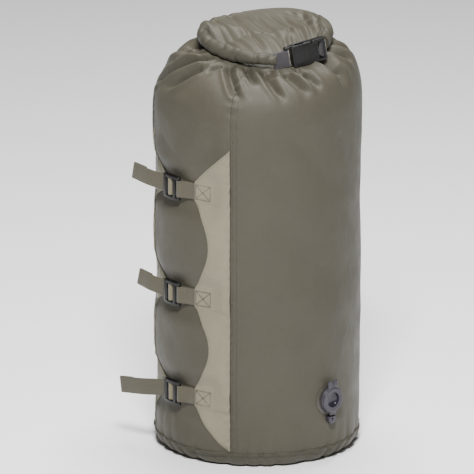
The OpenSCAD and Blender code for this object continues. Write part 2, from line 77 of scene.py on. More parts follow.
SACK_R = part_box("base_panel")[1].x + 0.5 * MM
PINCH = 6 * MM
STRAP_R = SACK_R - PINCH
STRAP_Z = [middle(f"ladder_lock_{i}").z for i in (1, 2, 3)]
FRONT_SEAM, SIDE_SEAM = -15.0, -81.0
PEAK_SPAN, VALLEY_SPAN = 23.0, 12.5
PANEL_LOW_Z, PANEL_TOP_Z = (corner.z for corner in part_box("front_strap_panel"))
LOCK_AZ = -54.0
WEB_W = 20 * MM
WEB_T = 1.3 * MM
CLOTH_T = 0.5 * MM
BASE_SEAM_Z = 17 * MM
SHOULDER_Z = 400 * MM
RING_AT = Vector((6, -9, 0)) * MM
VALVE_AZ = math.degrees(math.atan2(middle("valve_seat").x, -middle("valve_seat").y))
VALVE_Z = middle("valve_seat").z
UP = Vector((0, 0, 1))


def outward(az):
    """The level direction at azimuth az, in degrees from the front towards +X."""
    a = math.radians(az)
    return Vector((math.sin(a), -math.cos(a), 0))


def sideways(az):
    """The level direction along the cloth at azimuth az, towards larger azimuths."""
    a = math.radians(az)
    return Vector((math.cos(a), math.sin(a), 0))


def polar(az, r, z, centre=(0, 0)):
    """Points at azimuths az, distances r from centre and heights z: arrays."""
    a = np.radians(az)
    x = centre[0] + r * np.sin(a)
    y = centre[1] - r * np.cos(a)
    return np.stack(np.broadcast_arrays(x, y, z), axis=-1)


def add_object(name, data):
    """A new object in the scene's collection."""
    obj = bpy.data.objects.new(name, data)
    bpy.context.scene.collection.objects.link(obj)
    return obj


# ---------------------------------------------------------------- camera, light and floor

CAMERA_ELEVATION = 17.0
CAMERA_DISTANCE = 8.0
CAMERA_TARGET = Vector((-0.0236, 0, 0.2472))
CAMERA_LENS = 515.5
SENSOR_W = 36
WORLD_STRENGTH = 0.08
# Each light: place, aim, size in metres, power in watts
LIGHTS = {
    "key": ((0.0, -1.9, 2.3), (0, 0, 0.28), (0.6, 0.6), 150),
    "top": ((0.1, 0.4, 2.4), (0, 0, 0.3), (1.0, 0.8), 78),
}
FLOOR_HALF = 30.0
FLOOR_TONE = 0.97


def make_camera():
    data = bpy.data.cameras.new("camera")
    data.lens = CAMERA_LENS
    data.sensor_width = SENSOR_W
    cam = add_object("camera", data)
    e = math.radians(CAMERA_ELEVATION)
    back = Vector((0, -math.cos(e), math.sin(e)))
    cam.location = CAMERA_TARGET + back * CAMERA_DISTANCE
    cam.rotation_mode = "QUATERNION"
    cam.rotation_quaternion = (-back).to_track_quat("-Z", "Y")
    bpy.context.scene.camera = cam


def area_light(name, at, aim, size, power):
    data = bpy.data.lights.new(name, "AREA")
    data.shape = "RECTANGLE"
    data.size, data.size_y = size
    data.energy = power
    light = add_object(name, data)
    light.location = at
    light.rotation_mode = "QUATERNION"
    light.rotation_quaternion = (Vector(aim) - Vector(at)).to_track_quat("-Z", "Y")


def make_studio():
    world = bpy.data.worlds.new("studio")
    bpy.context.scene.world = world
    world.use_nodes = True
    background = world.node_tree.nodes["Background"]
    background.inputs["Color"].default_value = (1.0, 1.0, 1.0, 1)
    background.inputs["Strength"].default_value = WORLD_STRENGTH
    for name, settings in LIGHTS.items():
        area_light(name, *settings)
    mesh = bpy.data.meshes.new("floor")
    s = FLOOR_HALF
    mesh.from_pydata([(-s, -s, 0), (s, -s, 0), (s, s, 0), (-s, s, 0)], [], [(0, 1, 2, 3)])
    floor = add_object("floor", mesh)
    material = bpy.data.materials.new("floor_white")
    material.use_nodes = True
    shader = material.node_tree.nodes["Principled BSDF"]
    shader.inputs["Base Color"].default_value = (*(FLOOR_TONE,) * 3, 1)
    shader.inputs["Roughness"].default_value = 0.9
    mesh.materials.append(material)


# ---------------------------------------------------------------- materials

class Nodes:
    """A short way to wire a shader."""

    def __init__(self, name):
        self.material = bpy.data.materials.new(name)
        self.material.use_nodes = True
        self.tree = self.material.node_tree
        self.shader = self.tree.nodes["Principled BSDF"]

    def add(self, kind, **inputs):
        node = self.tree.nodes.new("ShaderNode" + kind)
        for key, value in inputs.items():
            node.inputs[key].default_value = value
        return node

    def link(self, a, b):
        self.tree.links.new(a, b)

    def coords(self, kind="Object"):
        return self.add("TexCoord").outputs[kind]

    def noise(self, vector, scale, detail, rough, stretch=None):
        if stretch:
            mapping = self.add("Mapping", Scale=stretch)
            self.link(vector, mapping.inputs["Vector"])
            vector = mapping.outputs["Vector"]
        node = self.add("TexNoise", Scale=scale, Detail=detail, Roughness=rough)
        self.link(vector, node.inputs["Vector"])
        return node.outputs["Fac"]

    def wave(self, vector, scale, direction, distortion=0.0):
        node = self.add("TexWave", Scale=scale, Distortion=distortion)
        node.bands_direction = direction
        self.link(vector, node.inputs["Vector"])
        return node.outputs["Fac"]

    def math(self, operation, a, b):
        node = self.add("Math")
        node.operation = operation
        for i, value in enumerate((a, b)):
            if isinstance(value, (int, float)):
                node.inputs[i].default_value = value
            else:
                self.link(value, node.inputs[i])
        return node.outputs[0]

    def ramp(self, fac, stops):
        node = self.add("ValToRGB")
        ramp = node.color_ramp
        while len(ramp.elements) < len(stops):
            ramp.elements.new(0.5)
        for element, (at, colour) in zip(ramp.elements, stops):
            element.position = at
            element.color = (*colour, 1)
        self.link(fac, node.inputs["Fac"])
        return node.outputs["Color"]

    def bump(self, height, strength, distance, under=None):
        node = self.add("Bump", Strength=strength, Distance=distance)
        self.link(height, node.inputs["Height"])
        if under is not None:
            self.link(under, node.inputs["Normal"])
        return node.outputs["Normal"]

    def finish(self, colour, normal, roughness=None, **constants):
        self.link(colour, self.shader.inputs["Base Color"])
        self.link(normal, self.shader.inputs["Normal"])
        if roughness is not None:
            self.link(roughness, self.shader.inputs["Roughness"])
        for key, value in constants.items():
            self.shader.inputs[key.replace("_", " ")].default_value = value
        return self.material


def shade(colour, k):
    """The same colour k times as bright."""
    return tuple(c * k for c in colour)


def coated_cloth(name, colour):
    """Coated nylon: a fine plain weave under a satin coating with soft crinkles."""
    n = Nodes(name)
    uv = n.coords("UV")
    place = n.coords()
    weave = n.math("MULTIPLY", n.wave(uv, 380, "X"), n.wave(uv, 380, "Y"))
    crinkle = n.noise(place, 38, 5, 0.6)
    crease = n.noise(place, 24, 4, 0.55, stretch=(1.0, 1.0, 0.45))
    fine = n.noise(place, 190, 3, 0.6)
    tone = n.noise(place, 7, 3, 0.55)
    worn = n.math("ADD", n.math("MULTIPLY", tone, 0.7), n.math("MULTIPLY", fine, 0.3))
    base = n.ramp(worn, [(0.3, shade(colour, 0.9)), (0.7, shade(colour, 1.1))])
    rough = n.ramp(crinkle, [(0.3, (0.46,) * 3), (0.7, (0.62,) * 3)])
    normal = n.bump(crinkle, 0.30, 0.0020)
    normal = n.bump(crease, 0.35, 0.0040, normal)
    normal = n.bump(weave, 0.35, 0.00012, normal)
    return n.finish(base, normal, rough, Sheen_Weight=0.03, Sheen_Roughness=0.4,
                    Specular_IOR_Level=0.22)


def webbing_material(name, colour):
    """Woven webbing: ribs along its length crossed by weft."""
    n = Nodes(name)
    uv = n.coords("UV")
    place = n.coords()
    ribs = n.wave(uv, 190, "Y")
    weft = n.wave(uv, 230, "X", 0.6)
    weave = n.math("MULTIPLY", ribs, n.math("ADD", n.math("MULTIPLY", weft, 0.5), 0.5))
    fuzz = n.noise(place, 900, 2, 0.7)
    tone = n.math("ADD", n.math("MULTIPLY", weave, 0.55), n.math("MULTIPLY", fuzz, 0.45))
    base = n.ramp(tone, [(0.15, shade(colour, 0.62)), (0.55, colour), (0.9, shade(colour, 1.3))])
    normal = n.bump(weave, 0.6, 0.00035)
    normal = n.bump(fuzz, 0.25, 0.00015, normal)
    return n.finish(base, normal, Roughness=0.72, Sheen_Weight=0.25, Sheen_Roughness=0.5)


def moulded_plastic(name, colour, rough=0.42):
    """Moulded plastic with a fine spark-eroded grain and slightly polished wear."""
    n = Nodes(name)
    place = n.coords()
    grain = n.noise(place, 1500, 2, 0.6)
    cloud = n.noise(place, 60, 4, 0.6)
    base = n.ramp(cloud, [(0.35, shade(colour, 0.85)), (0.75, shade(colour, 1.35))])
    roughness = n.ramp(cloud, [(0.3, (rough - 0.07,) * 3), (0.7, (rough + 0.1,) * 3)])
    normal = n.bump(grain, 0.18, 0.00012)
    return n.finish(base, normal, roughness, Specular_IOR_Level=0.34)


def thread_material(name, colour):
    """Twisted sewing thread."""
    n = Nodes(name)
    twist = n.noise(n.coords(), 1400, 2, 0.6)
    base = n.ramp(twist, [(0.3, shade(colour, 0.7)), (0.7, shade(colour, 1.2))])
    return n.finish(base, n.bump(twist, 0.3, 0.0001), Roughness=0.65, Sheen_Weight=0.2)


OLIVE = (0.057, 0.052, 0.038)
PALE = (0.185, 0.170, 0.118)
WEB = (0.056, 0.048, 0.027)
BLACK = (0.0045, 0.0045, 0.0043)
VALVE = (0.034, 0.030, 0.040)


# ---------------------------------------------------------------- the sack's surface

# Shoulder stations: inset from the side's radius, centre x, centre y, and the height at the front, on the
# right, at the back and on the left (mm)
SHOULDER = [
    (0, 0, 0, 400, 400, 400, 400),
    (0.4, 0, 0, 416, 430, 418, 416),
    (3, 0, 0, 434, 450, 436, 432),
    (9, 1, -1, 448, 466, 451, 446),
    (18.5, 2, -3, 457, 476, 463, 464),
    (31, 4, -5, 464, 482, 471, 479),
    (43, 5, -7, 469, 484, 477, 486),
    (54.5, 6, -8, 474, 486, 482, 488),
    (65, 6, -9, 477, 488, 486, 488),
]


def hermite_table(values, steps):
    """Catmull-Rom samples through rows of control values."""
    values = np.array(values, float)
    n = len(values)
    rows = []
    for i in range(n - 1):
        p0, p1 = values[max(i - 1, 0)], values[i]
        p2, p3 = values[i + 1], values[min(i + 2, n - 1)]
        for k in range(steps):
            t = k / steps
            rows.append(0.5 * (2 * p1 + (p2 - p0) * t + (2 * p0 - 5 * p1 + 4 * p2 - p3) * t * t
                               + (3 * p1 - p0 - 3 * p2 + p3) * t ** 3))
    rows.append(values[-1])
    return np.array(rows)


SHOULDER_TABLE = hermite_table(SHOULDER, 12) * MM
SHOULDER_TABLE[:, 0] = SACK_R - SHOULDER_TABLE[:, 0]
step_lengths = np.hypot(np.diff(SHOULDER_TABLE[:, 0]), np.diff(SHOULDER_TABLE[:, 3:].mean(1)))
SHOULDER_V = SHOULDER_Z + np.concatenate([[0], np.cumsum(step_lengths)])
TOP_V = SHOULDER_V[-1]


def smooth(t):
    """A soft step from 0 to 1."""
    t = np.clip(t, 0, 1)
    return t * t * (3 - 2 * t)


def pinch_height(z):
    """How far a strap draws the cloth in at height z, from 0 to 1."""
    return np.max([np.exp(-((z - s) / (26 * MM)) ** 4) for s in STRAP_Z], axis=0)


def pinch_span(az):
    """The part of the round that the straps draw in, from 0 to 1."""
    return smooth((az + 106) / 26) * smooth((FRONT_SEAM - 0.5 - az) / 12)


def wrap(az):
    """An azimuth in the range from -180 to 180."""
    return (np.asarray(az) + 180.0) % 360.0 - 180.0


def base_surface(az, v):
    """The sack's side and shoulder before any fold: arrays of points."""
    a = np.radians(az)
    r = np.interp(v, SHOULDER_V, SHOULDER_TABLE[:, 0])
    cx = np.interp(v, SHOULDER_V, SHOULDER_TABLE[:, 1])
    cy = np.interp(v, SHOULDER_V, SHOULDER_TABLE[:, 2])
    front, right, back, left = (np.interp(v, SHOULDER_V, SHOULDER_TABLE[:, k])
                                for k in (3, 4, 5, 6))
    ends = back + (front - back) * (1 + np.cos(a)) / 2
    side = np.where(np.sin(a) > 0, right, left)
    z_shoulder = ends + (side - ends) * np.sin(a) ** 2
    z = np.where(v < SHOULDER_Z, v, z_shoulder)
    r = np.where(v < SHOULDER_Z, SACK_R, r)
    r = r - PINCH * pinch_height(v) * pinch_span(wrap(az))
    return polar(az, r, z, (cx, cy))


# Folds of the shoulder that the roll gathers: width and depth in mm, then the places that
# the bottom of the fold runs through, as azimuth and place on the meridian in mm
FOLDS = [
    (11, 13.0, (-84, 512), (-108, 482)),
    (6, 7.0, (-70, 506), (-106, 470)),
    (4, 5.0, (-61, 501), (-89, 480)),
    (5, 8.0, (-52, 499), (-68, 477.6), (-96, 437)),
    (4, 5.0, (-35, 498), (-42, 482)),
    (5, 7.0, (-47, 484), (-56, 467), (-70, 448)),
    (5, 8.0, (-31, 504), (-19.5, 479), (-10, 450)),
    (4, 6.0, (-16, 510), (-1.5, 478)),
    (5, 7.5, (1, 509), (16, 446)),
    (4, 5.0, (7, 508), (12, 490)),
    (6, 7.5, (20, 498), (31, 445)),
    (4, 5.0, (30, 499), (34, 475)),
    (5, 6.5, (34, 488), (40, 448)),
    (7, 10.0, (58, 502), (58, 468), (62, 438)),
    (7, 10.0, (73, 499), (82, 453)),
    (6, 8.0, (92, 498), (99, 454)),
    (5, 6.0, (108, 500), (112, 452)),
    (6, 7.5, (-116, 508), (-124, 448)),
]
for k in range(10):
    top = 122 + k * 11 + rng.uniform(-3, 3)
    FOLDS.append((rng.uniform(4, 7), rng.uniform(4.5, 8), (top, 500),
                  (top + rng.uniform(-9, 9), rng.uniform(432, 462))))

# Soft creases on the side: azimuth and height of each end, width and depth in mm
CREASES = [
    (-5, 392, 22, 330, 16, 1.5), (20, 402, 50, 320, 18, 1.6), (50, 396, 78, 340, 16, 1.4),
    (2, 120, 30, 70, 14, 1.0), (30, 250, 62, 215, 20, 1.1), (-8, 250, 14, 215, 16, 0.9),
    (60, 150, 84, 120, 18, 1.0), (12, 60, 50, 40, 12, 1.0), (-60, 60, -30, 34, 10, 1.8),
    (-78, 64, -52, 40, 9, 1.8), (-40, 48, -22, 30, 8, 1.5), (-70, 390, -38, 352, 14, 1.6),
    (-24, 395, -40, 350, 12, 1.5), (-30, 420, -20, 375, 10, 1.4),
]
for k in range(26):
    start = rng.uniform(85, 272)
    height = rng.uniform(50, 390)
    CREASES.append((start, height, start + rng.uniform(12, 34), height - rng.uniform(-30, 60),
                    rng.uniform(10, 20), rng.uniform(0.7, 1.6)))


def valley(x):
    """A crease with a sharp bottom between two soft shoulders."""
    return np.exp(-np.abs(x) ** 1.1) - 0.36 * np.exp(-((np.abs(x) - 1.9) / 0.8) ** 2)


# Shares of a fold's length over which it fades in and out, and what the tables' folds are scaled by
FOLD_HEAD, FOLD_TAIL = 0.12, 0.45
FOLD_DEPTH, FOLD_WIDTH = 1.2, 0.85


def fold_profile(az, v, width, points):
    """The share of its depth that a fold through points has at each place."""
    r = np.interp(v, SHOULDER_V, SHOULDER_TABLE[:, 0])
    nearest = np.full(v.shape, 1e3)
    taper = np.zeros(v.shape)
    steps = len(points) - 1
    for k, ((a0, v0), (a1, v1)) in enumerate(zip(points, points[1:])):
        x = np.radians(wrap(az - a0)) * r
        y = v - v0 * MM
        dx, dy = math.radians(a1 - a0) * r, (v1 - v0) * MM
        t = np.clip((x * dx + y * dy) / (dx * dx + dy * dy), 0, 1)
        away = np.hypot(x - t * dx, y - t * dy)
        closer = away < nearest
        nearest = np.where(closer, away, nearest)
        along = (k + t) / steps
        fade = smooth((1 - along) / FOLD_TAIL + 0.12) * smooth(along / FOLD_HEAD + 0.35)
        taper = np.where(closer, fade, taper)
    return taper * valley(nearest / (width * MM))


def fold_depth(az, v):
    """How far inwards the cloth is folded, in metres."""
    depth = np.zeros_like(v)
    for width, deep, *points in FOLDS:
        depth += FOLD_DEPTH * deep * MM * fold_profile(az, v, FOLD_WIDTH * width, points)
    for a0, z0, a1, z1, width, deep in CREASES:
        depth += deep * MM * fold_profile(az, v, width, [(a0, z0), (a1, z1)])
    return depth


def base_gather(az):
    """How strongly the base's seam gathers the cloth at each azimuth, from 0 to 1."""
    a = np.radians(az)
    return (np.sin(a * 30 + 2.0 * np.sin(a * 7)) * 0.5 + 0.5) ** 3


# Height, pitch in mm and reach of the ripples along a seam, and height and reach of those at the base
PUCKER, PUCKER_PITCH, PUCKER_REACH = 0.75 * MM, 13, 6 * MM
GATHER, GATHER_REACH = 2.4 * MM, 16 * MM


def seam_pucker(az, v):
    """Small ripples where a seam draws the cloth together."""
    ripple = np.zeros_like(v)
    for seam in (FRONT_SEAM, SIDE_SEAM):
        across = np.radians(wrap(az - seam)) * SACK_R
        wave = np.sin(v / MM * 2 * math.pi / PUCKER_PITCH + 2.0 * np.sin(v / MM / 17.0 + seam))
        ripple += PUCKER * (0.6 + wave) * np.exp(-(across / PUCKER_REACH) ** 2)
    up = np.clip(v - BASE_SEAM_Z, 0, None)
    ripple += GATHER * base_gather(az) * np.exp(-up / GATHER_REACH)
    return ripple


# No folds within the first distance of the valve; they come back over the second
VALVE_FLAT, VALVE_FADE = 16 * MM, 18 * MM


def surface(az, v):
    """Points of the finished cloth at azimuths az (degrees) and meridian places v (metres)."""
    az, v = np.broadcast_arrays(np.asarray(az, float), np.asarray(v, float))
    step_az, step_v = 0.4, 1.5 * MM
    p = base_surface(az, v)
    du = base_surface(az + step_az, v) - base_surface(az - step_az, v)
    dv = base_surface(az, v + step_v) - base_surface(az, v - step_v)
    normal = np.cross(du, dv)
    normal /= np.linalg.norm(normal, axis=-1, keepdims=True) + 1e-12
    sink = fold_depth(az, v) + seam_pucker(az, v)
    quiet = 1 - 0.85 * pinch_height(v) * pinch_span(wrap(az))
    near_valve = np.hypot(np.radians(wrap(az - VALVE_AZ)) * SACK_R, v - VALVE_Z)
    quiet = quiet * smooth((near_valve - VALVE_FLAT) / VALVE_FADE)
    return p - normal * ((sink - lump_noise(p)) * quiet)[..., None]


def lump_noise(p):
    """Slow unevenness of the filled cloth: a few sine waves with fixed phases."""
    x, y, z = p[..., 0] / MM, p[..., 1] / MM, p[..., 2] / MM
    value = 0.9 * np.sin(x / 31 + 1.3 * np.sin(z / 47) + 0.7) * np.sin(z / 38 + y / 53)
    value += 0.6 * np.sin(y / 23 - z / 61 + 2.1) * np.sin(x / 29 + z / 43 + 1.1)
    value += 0.35 * np.sin(x / 13 + z / 19 + 0.4) * np.sin(y / 15 - z / 17 + 2.7)
    return value * MM


# ---------------------------------------------------------------- mesh helpers

def new_object(name, points, faces, material, uvs=None):
    """A smooth-shaded mesh with one material."""
    mesh = bpy.data.meshes.new(name)
    mesh.from_pydata([tuple(p) for p in points], [], faces)
    if uvs is not None:
        layer = mesh.uv_layers.new(name="UVMap")
        uv_points = np.array(uvs, float)
        loops = np.zeros(len(mesh.loops), int)
        mesh.loops.foreach_get("vertex_index", loops)
        layer.data.foreach_set("uv", uv_points[loops].ravel())
    mesh.validate()
    mesh.shade_smooth()
    mesh.materials.append(material)
    return add_object(name, mesh)


def grid_faces(rows, cols, first=0, closed=False):
    """Quads between rows of points; closed joins each row's ends."""
    faces = []
    for i in range(rows - 1):
        for j in range(cols if closed else cols - 1):
            a = first + i * cols + j
            b = first + i * cols + (j + 1) % cols
            faces.append((a, b, b + cols, a + cols))
    return faces


def ring_faces(rows, cols):
    """Faces of a closed ring whose last row joins its first."""
    count = rows * cols
    return [tuple(i % count for i in f) for f in grid_faces(rows + 1, cols, closed=True)]


def apply_modifiers(obj):
    depsgraph = bpy.context.evaluated_depsgraph_get()
    mesh = bpy.data.meshes.new_from_object(obj.evaluated_get(depsgraph))
    obj.modifiers.clear()
    obj.data = mesh


def add_modifier(obj, kind, **settings):
    modifier = obj.modifiers.new(kind.lower(), kind)
    for key, value in settings.items():
        setattr(modifier, key, value)


def cloth_piece(name, points, uvs, material, thick=CLOTH_T):
    """A grid of points, shape (rows, columns, 3), as a thin sheet with its thickness inwards."""
    rows, cols = points.shape[:2]
    obj = new_object(name, points.reshape(-1, 3), grid_faces(rows, cols), material,
                     uvs.reshape(-1, 2))
    add_modifier(obj, "SUBSURF", levels=1, render_levels=1, boundary_smooth="PRESERVE_CORNERS")
    add_modifier(obj, "SOLIDIFY", thickness=thick, offset=-1.0)
    apply_modifiers(obj)
    return obj


def settle(obj, body, slot, *nodes):
    """Rides a finished piece on its body and lets it stand for CAD nodes."""
    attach(obj, body)
    if nodes:
        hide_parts(*nodes)


# ---------------------------------------------------------------- cloth shell

SIDE_ROWS, SHOULDER_ROWS = 104, 62
SHELL_V = np.concatenate([np.linspace(BASE_SEAM_Z, SHOULDER_Z, SIDE_ROWS),
                          np.linspace(SHOULDER_Z, TOP_V, SHOULDER_ROWS)[1:]])


def sector(name, az0, az1, material, az_step=1.3):
    """The cloth between two seams, from the base's seam up to the roll."""
    cols = int((az1 - az0) / az_step)
    v = SHELL_V[:, None]
    az = np.linspace(az0, az1, cols)[None, :]
    points = surface(az, v)
    uvs = np.stack(np.broadcast_arrays(np.radians(az) * SACK_R, v), axis=-1)
    piece = cloth_piece(name, points, uvs, material)
    return piece


def make_shell(materials):
    body = sector("body_cloth", FRONT_SEAM, SIDE_SEAM + 360, materials["olive"])
    settle(body, "root", "coated_cloth", "body_panel", "body_foot_front",
           "body_foot_valve", "body_foot_back", "shoulder_panel")
    gusset = sector("gusset_cloth", SIDE_SEAM, FRONT_SEAM, materials["olive"], az_step=1.1)
    settle(gusset, "root", "coated_cloth", "gusset_panel", "gusset_shoulder")


def make_base(materials):
    """The round base with its rolled edge, tucked where the seam gathers it."""
    round_r = 15 * MM
    arc = [(SACK_R - round_r + round_r * math.sin(t), round_r - round_r * math.cos(t))
           for t in np.linspace(0, math.pi / 2, 16)]
    flat = [(r * MM, 0.0) for r in (10, 30, 50, 70, 85, 96)]
    profile = np.array(flat + arc + [(SACK_R - 0.3 * MM, BASE_SEAM_Z + 0.4 * MM)])
    az = np.linspace(0, 360, 481)[:-1]
    near = smooth((profile[:, 0] - 80 * MM) / (45 * MM))
    sink = 2.2 * MM * near[:, None] * base_gather(az)[None, :]
    r = profile[:, 0][:, None] - sink
    z = np.broadcast_to(profile[:, 1][:, None], r.shape)
    z = z + 0.35 * sink * (z > 0)
    rows, cols = r.shape
    flat_points = polar(az, r, z).reshape(-1, 3)
    faces = grid_faces(rows, cols, closed=True)
    faces.append(tuple(range(cols - 1, -1, -1)))
    base = new_object("base_cloth", flat_points, faces, materials["olive"], flat_points[:, :2])
    settle(base, "root", "coated_cloth", "base_panel")


# Section of the binding: mm out from the cloth and up from the seam
BINDING = [(-0.6, -3.6), (0.7, -3.9), (1.2, -2.6), (1.35, -0.6), (1.2, 1.0), (0.5, 1.7), (-0.6, 1.6)]


def make_binding(materials):
    """The bound seam: a narrow folded strip round the bottom."""
    cols = 720
    az = np.linspace(0, 360, cols + 1)[:-1]
    here = surface(az, np.full_like(az, BASE_SEAM_Z + 0.1 * MM))
    radius = np.hypot(here[:, 0], here[:, 1])
    ripple = 0.35 * MM * np.sin(np.radians(az) * 90 + 3 * np.sin(np.radians(az) * 11))
    points = np.array([polar(az, radius + out * MM + ripple * 0.4, BASE_SEAM_Z + up * MM + ripple * 0.8)
                       for out, up in BINDING])
    faces = ring_faces(len(BINDING), cols)
    uvs = [(math.radians(a) * SACK_R, up * MM) for _, up in BINDING for a in az]
    strip = new_object("base_binding", points.reshape(-1, 3), faces, materials["olive_dark"], uvs)
    settle(strip, "root", "coated_cloth", "base_seam_binding")


# ---------------------------------------------------------------- strap panels

def scallop(z):
    """Width of a strap panel in degrees from its seam."""
    peak = 12 * MM
    low, mid, high = STRAP_Z
    if z >= high + peak:
        return PEAK_SPAN * (PANEL_TOP_Z - z) / (PANEL_TOP_Z - high - peak)
    if z <= low - peak:
        t = max(0.0, (z - PANEL_LOW_Z) / (low - peak - PANEL_LOW_Z))
        return PEAK_SPAN * t ** 0.8
    a, b = (low, mid) if z < mid else (mid, high)
    t = min(1.0, max(0.0, (z - a - peak) / (b - a - 2 * peak)))
    return PEAK_SPAN + (VALLEY_SPAN - PEAK_SPAN) * math.sin(math.pi * t) ** 0.9


def side_scallop(z):
    """Width of the side panel in degrees: narrow between the straps, with a point at each."""
    near = max(math.exp(-abs((z - s) / (15 * MM)) ** 2.2) for s in STRAP_Z)
    return 1.5 + (PEAK_SPAN - 1.5) * near


def over_web(z):
    """Whether height z is over a strap's webbing, from 0 to 1."""
    return max(math.exp(-((z - s) / (13 * MM)) ** 10) for s in STRAP_Z)


def panel_lift(z):
    """How far a strap panel stands off the cloth; webbing runs under it at the straps."""
    return 0.9 * MM + 1.6 * MM * over_web(z)


# Each panel's seam, the side of it that the panel lies on, its outline and its share of the flat cut
PANELS = {"front": (FRONT_SEAM, -1, scallop, 0.72), "side": (SIDE_SEAM, 1, side_scallop, 0.32)}


def strap_panel(which, material):
    """A scalloped panel that is sewn on beside its seam."""
    seam, direction, outline, share = PANELS[which]
    z = np.linspace(PANEL_LOW_Z, PANEL_TOP_Z, 190)[:, None]
    k = np.linspace(0, 1, 15)[None, :]
    width = np.array([max(0.35, outline(h)) for h in z[:, 0]])[:, None]
    lift = np.array([panel_lift(h) for h in z[:, 0]])[:, None]
    az = seam + direction * (0.15 + width * k)
    az, z, lift = np.broadcast_arrays(az, z, lift)
    lift = lift + 0.5 * MM * np.sin(z / MM / 9 + k * 5 + seam) * np.sin(math.pi * k)
    points = surface(az, z) + polar(az, lift, 0.0)
    uvs = np.stack([np.radians(az) * SACK_R, z], axis=-1)
    if direction < 0:
        points, uvs = points[:, ::-1], uvs[:, ::-1]
    panel = cloth_piece(f"{which}_panel_cloth", points, uvs, material, thick=0.45 * MM)
    settle(panel, "root", "pale_cloth", f"{which}_strap_panel")


# ---------------------------------------------------------------- tubes and ribbons

def frames_along(points):
    """Tangent, side and up at each point of a path."""
    out = []
    for i, p in enumerate(points):
        t = (points[min(i + 1, len(points) - 1)] - points[max(i - 1, 0)]).normalized()
        side = t.cross(UP).normalized()
        out.append((t, side, side.cross(t).normalized()))
    return out


def rounded_section(width, thick):
    """A flat strip's section: half width along x, half thickness along y, round edges."""
    r = thick / 2
    edge_steps = 6
    points = []
    for side in (1, -1):
        for k in range(edge_steps + 1):
            a = -math.pi / 2 + math.pi * k / edge_steps
            points.append((side * (width / 2 - r + r * math.cos(a)), side * r * math.sin(a)))
    return points


def ribbon(name, path, across, material, thick=WEB_T):
    """Webbing swept along path; across holds the width direction at each point."""
    section = rounded_section(WEB_W, thick)
    m = len(section)
    points, uvs, length = [], [], 0.0
    for i, p in enumerate(path):
        if i:
            length += (p - path[i - 1]).length
        t = (path[min(i + 1, len(path) - 1)] - path[max(i - 1, 0)]).normalized()
        w = (across[i] - t * across[i].dot(t)).normalized()
        n = t.cross(w).normalized()
        for x, y in section:
            points.append(p + w * x + n * y)
            uvs.append((length, x))
    faces = grid_faces(len(path), m, closed=True)
    faces.append(tuple(range(m - 1, -1, -1)))
    faces.append(tuple((len(path) - 1) * m + k for k in range(m)))
    return new_object(name, points, faces, material, uvs)


def smooth_path(control, steps):
    """A smooth curve through control points."""
    rows = hermite_table([tuple(c) for c in control], steps)
    return [Vector(r) for r in rows]


def stitch_mesh(name, stitches, material, radius):
    """Short threads: each stitch is (start, end, outward) in the row frame."""
    points, faces = [], []
    sides, rings = 6, 5
    for start, end, outward in stitches:
        t = (end - start).normalized()
        side = t.cross(outward).normalized()
        out = side.cross(t).normalized()
        if out.dot(outward) < 0:
            out = -out
        first = len(points)
        for i in range(rings):
            k = i / (rings - 1)
            arch = math.sin(math.pi * k)
            centre = start.lerp(end, k) + out * (radius * 1.1 * arch - radius * 0.5)
            r = radius * (0.35 + 0.65 * arch ** 0.5) if arch > 0 else radius * 0.3
            for j in range(sides):
                a = 2 * math.pi * j / sides
                points.append(centre + side * r * math.cos(a) + out * r * math.sin(a))
        faces += grid_faces(rings, sides, first, closed=True)
        faces.append(tuple(first + j for j in range(sides - 1, -1, -1)))
        faces.append(tuple(first + (rings - 1) * sides + j for j in range(sides)))
    return new_object(name, points, faces, material)


def stitch_line(points, outs, pitch, fill=0.72):
    """Stitches spaced evenly along a polyline."""
    stitches = []
    lengths = [0.0]
    for a, b in zip(points, points[1:]):
        lengths.append(lengths[-1] + (b - a).length)
    total = lengths[-1]
    count = max(1, int(total / pitch))

    def at(s):
        i = int(np.searchsorted(lengths, s)) - 1
        i = min(max(i, 0), len(points) - 2)
        k = (s - lengths[i]) / max(lengths[i + 1] - lengths[i], 1e-9)
        return points[i].lerp(points[i + 1], k), outs[i].lerp(outs[i + 1], k).normalized()

    for n in range(count):
        a, out = at(n * total / count)
        b, _ = at((n + fill) * total / count)
        stitches.append((a, b, out))
    return stitches


def surface_line(azimuths, heights, lift):
    """A polyline lifted over the cloth at the given azimuths and heights."""
    points = surface(np.array(azimuths, float), np.array(heights, float))
    outs = [outward(a) for a in azimuths]
    lifts = lift if hasattr(lift, "__len__") else [lift] * len(azimuths)
    return [Vector(p) + o * l for p, o, l in zip(points, outs, lifts)], outs


def box_x(azimuths, z_mid, half, lift):
    """A square of stitching with its two diagonals."""
    a0, a1 = azimuths
    corners = [(a0, z_mid - half), (a1, z_mid - half), (a1, z_mid + half), (a0, z_mid + half)]
    runs = [(corners[i], corners[(i + 1) % 4]) for i in range(4)]
    runs += [(corners[0], corners[2]), (corners[1], corners[3])]
    stitches = []
    for (s_az, s_z), (e_az, e_z) in runs:
        az = np.linspace(s_az, e_az, 12)
        z = np.linspace(s_z, e_z, 12)
        points, outs = surface_line(az, z, lift)
        stitches += stitch_line(points, outs, 2.6 * MM, 0.7)
    return stitches


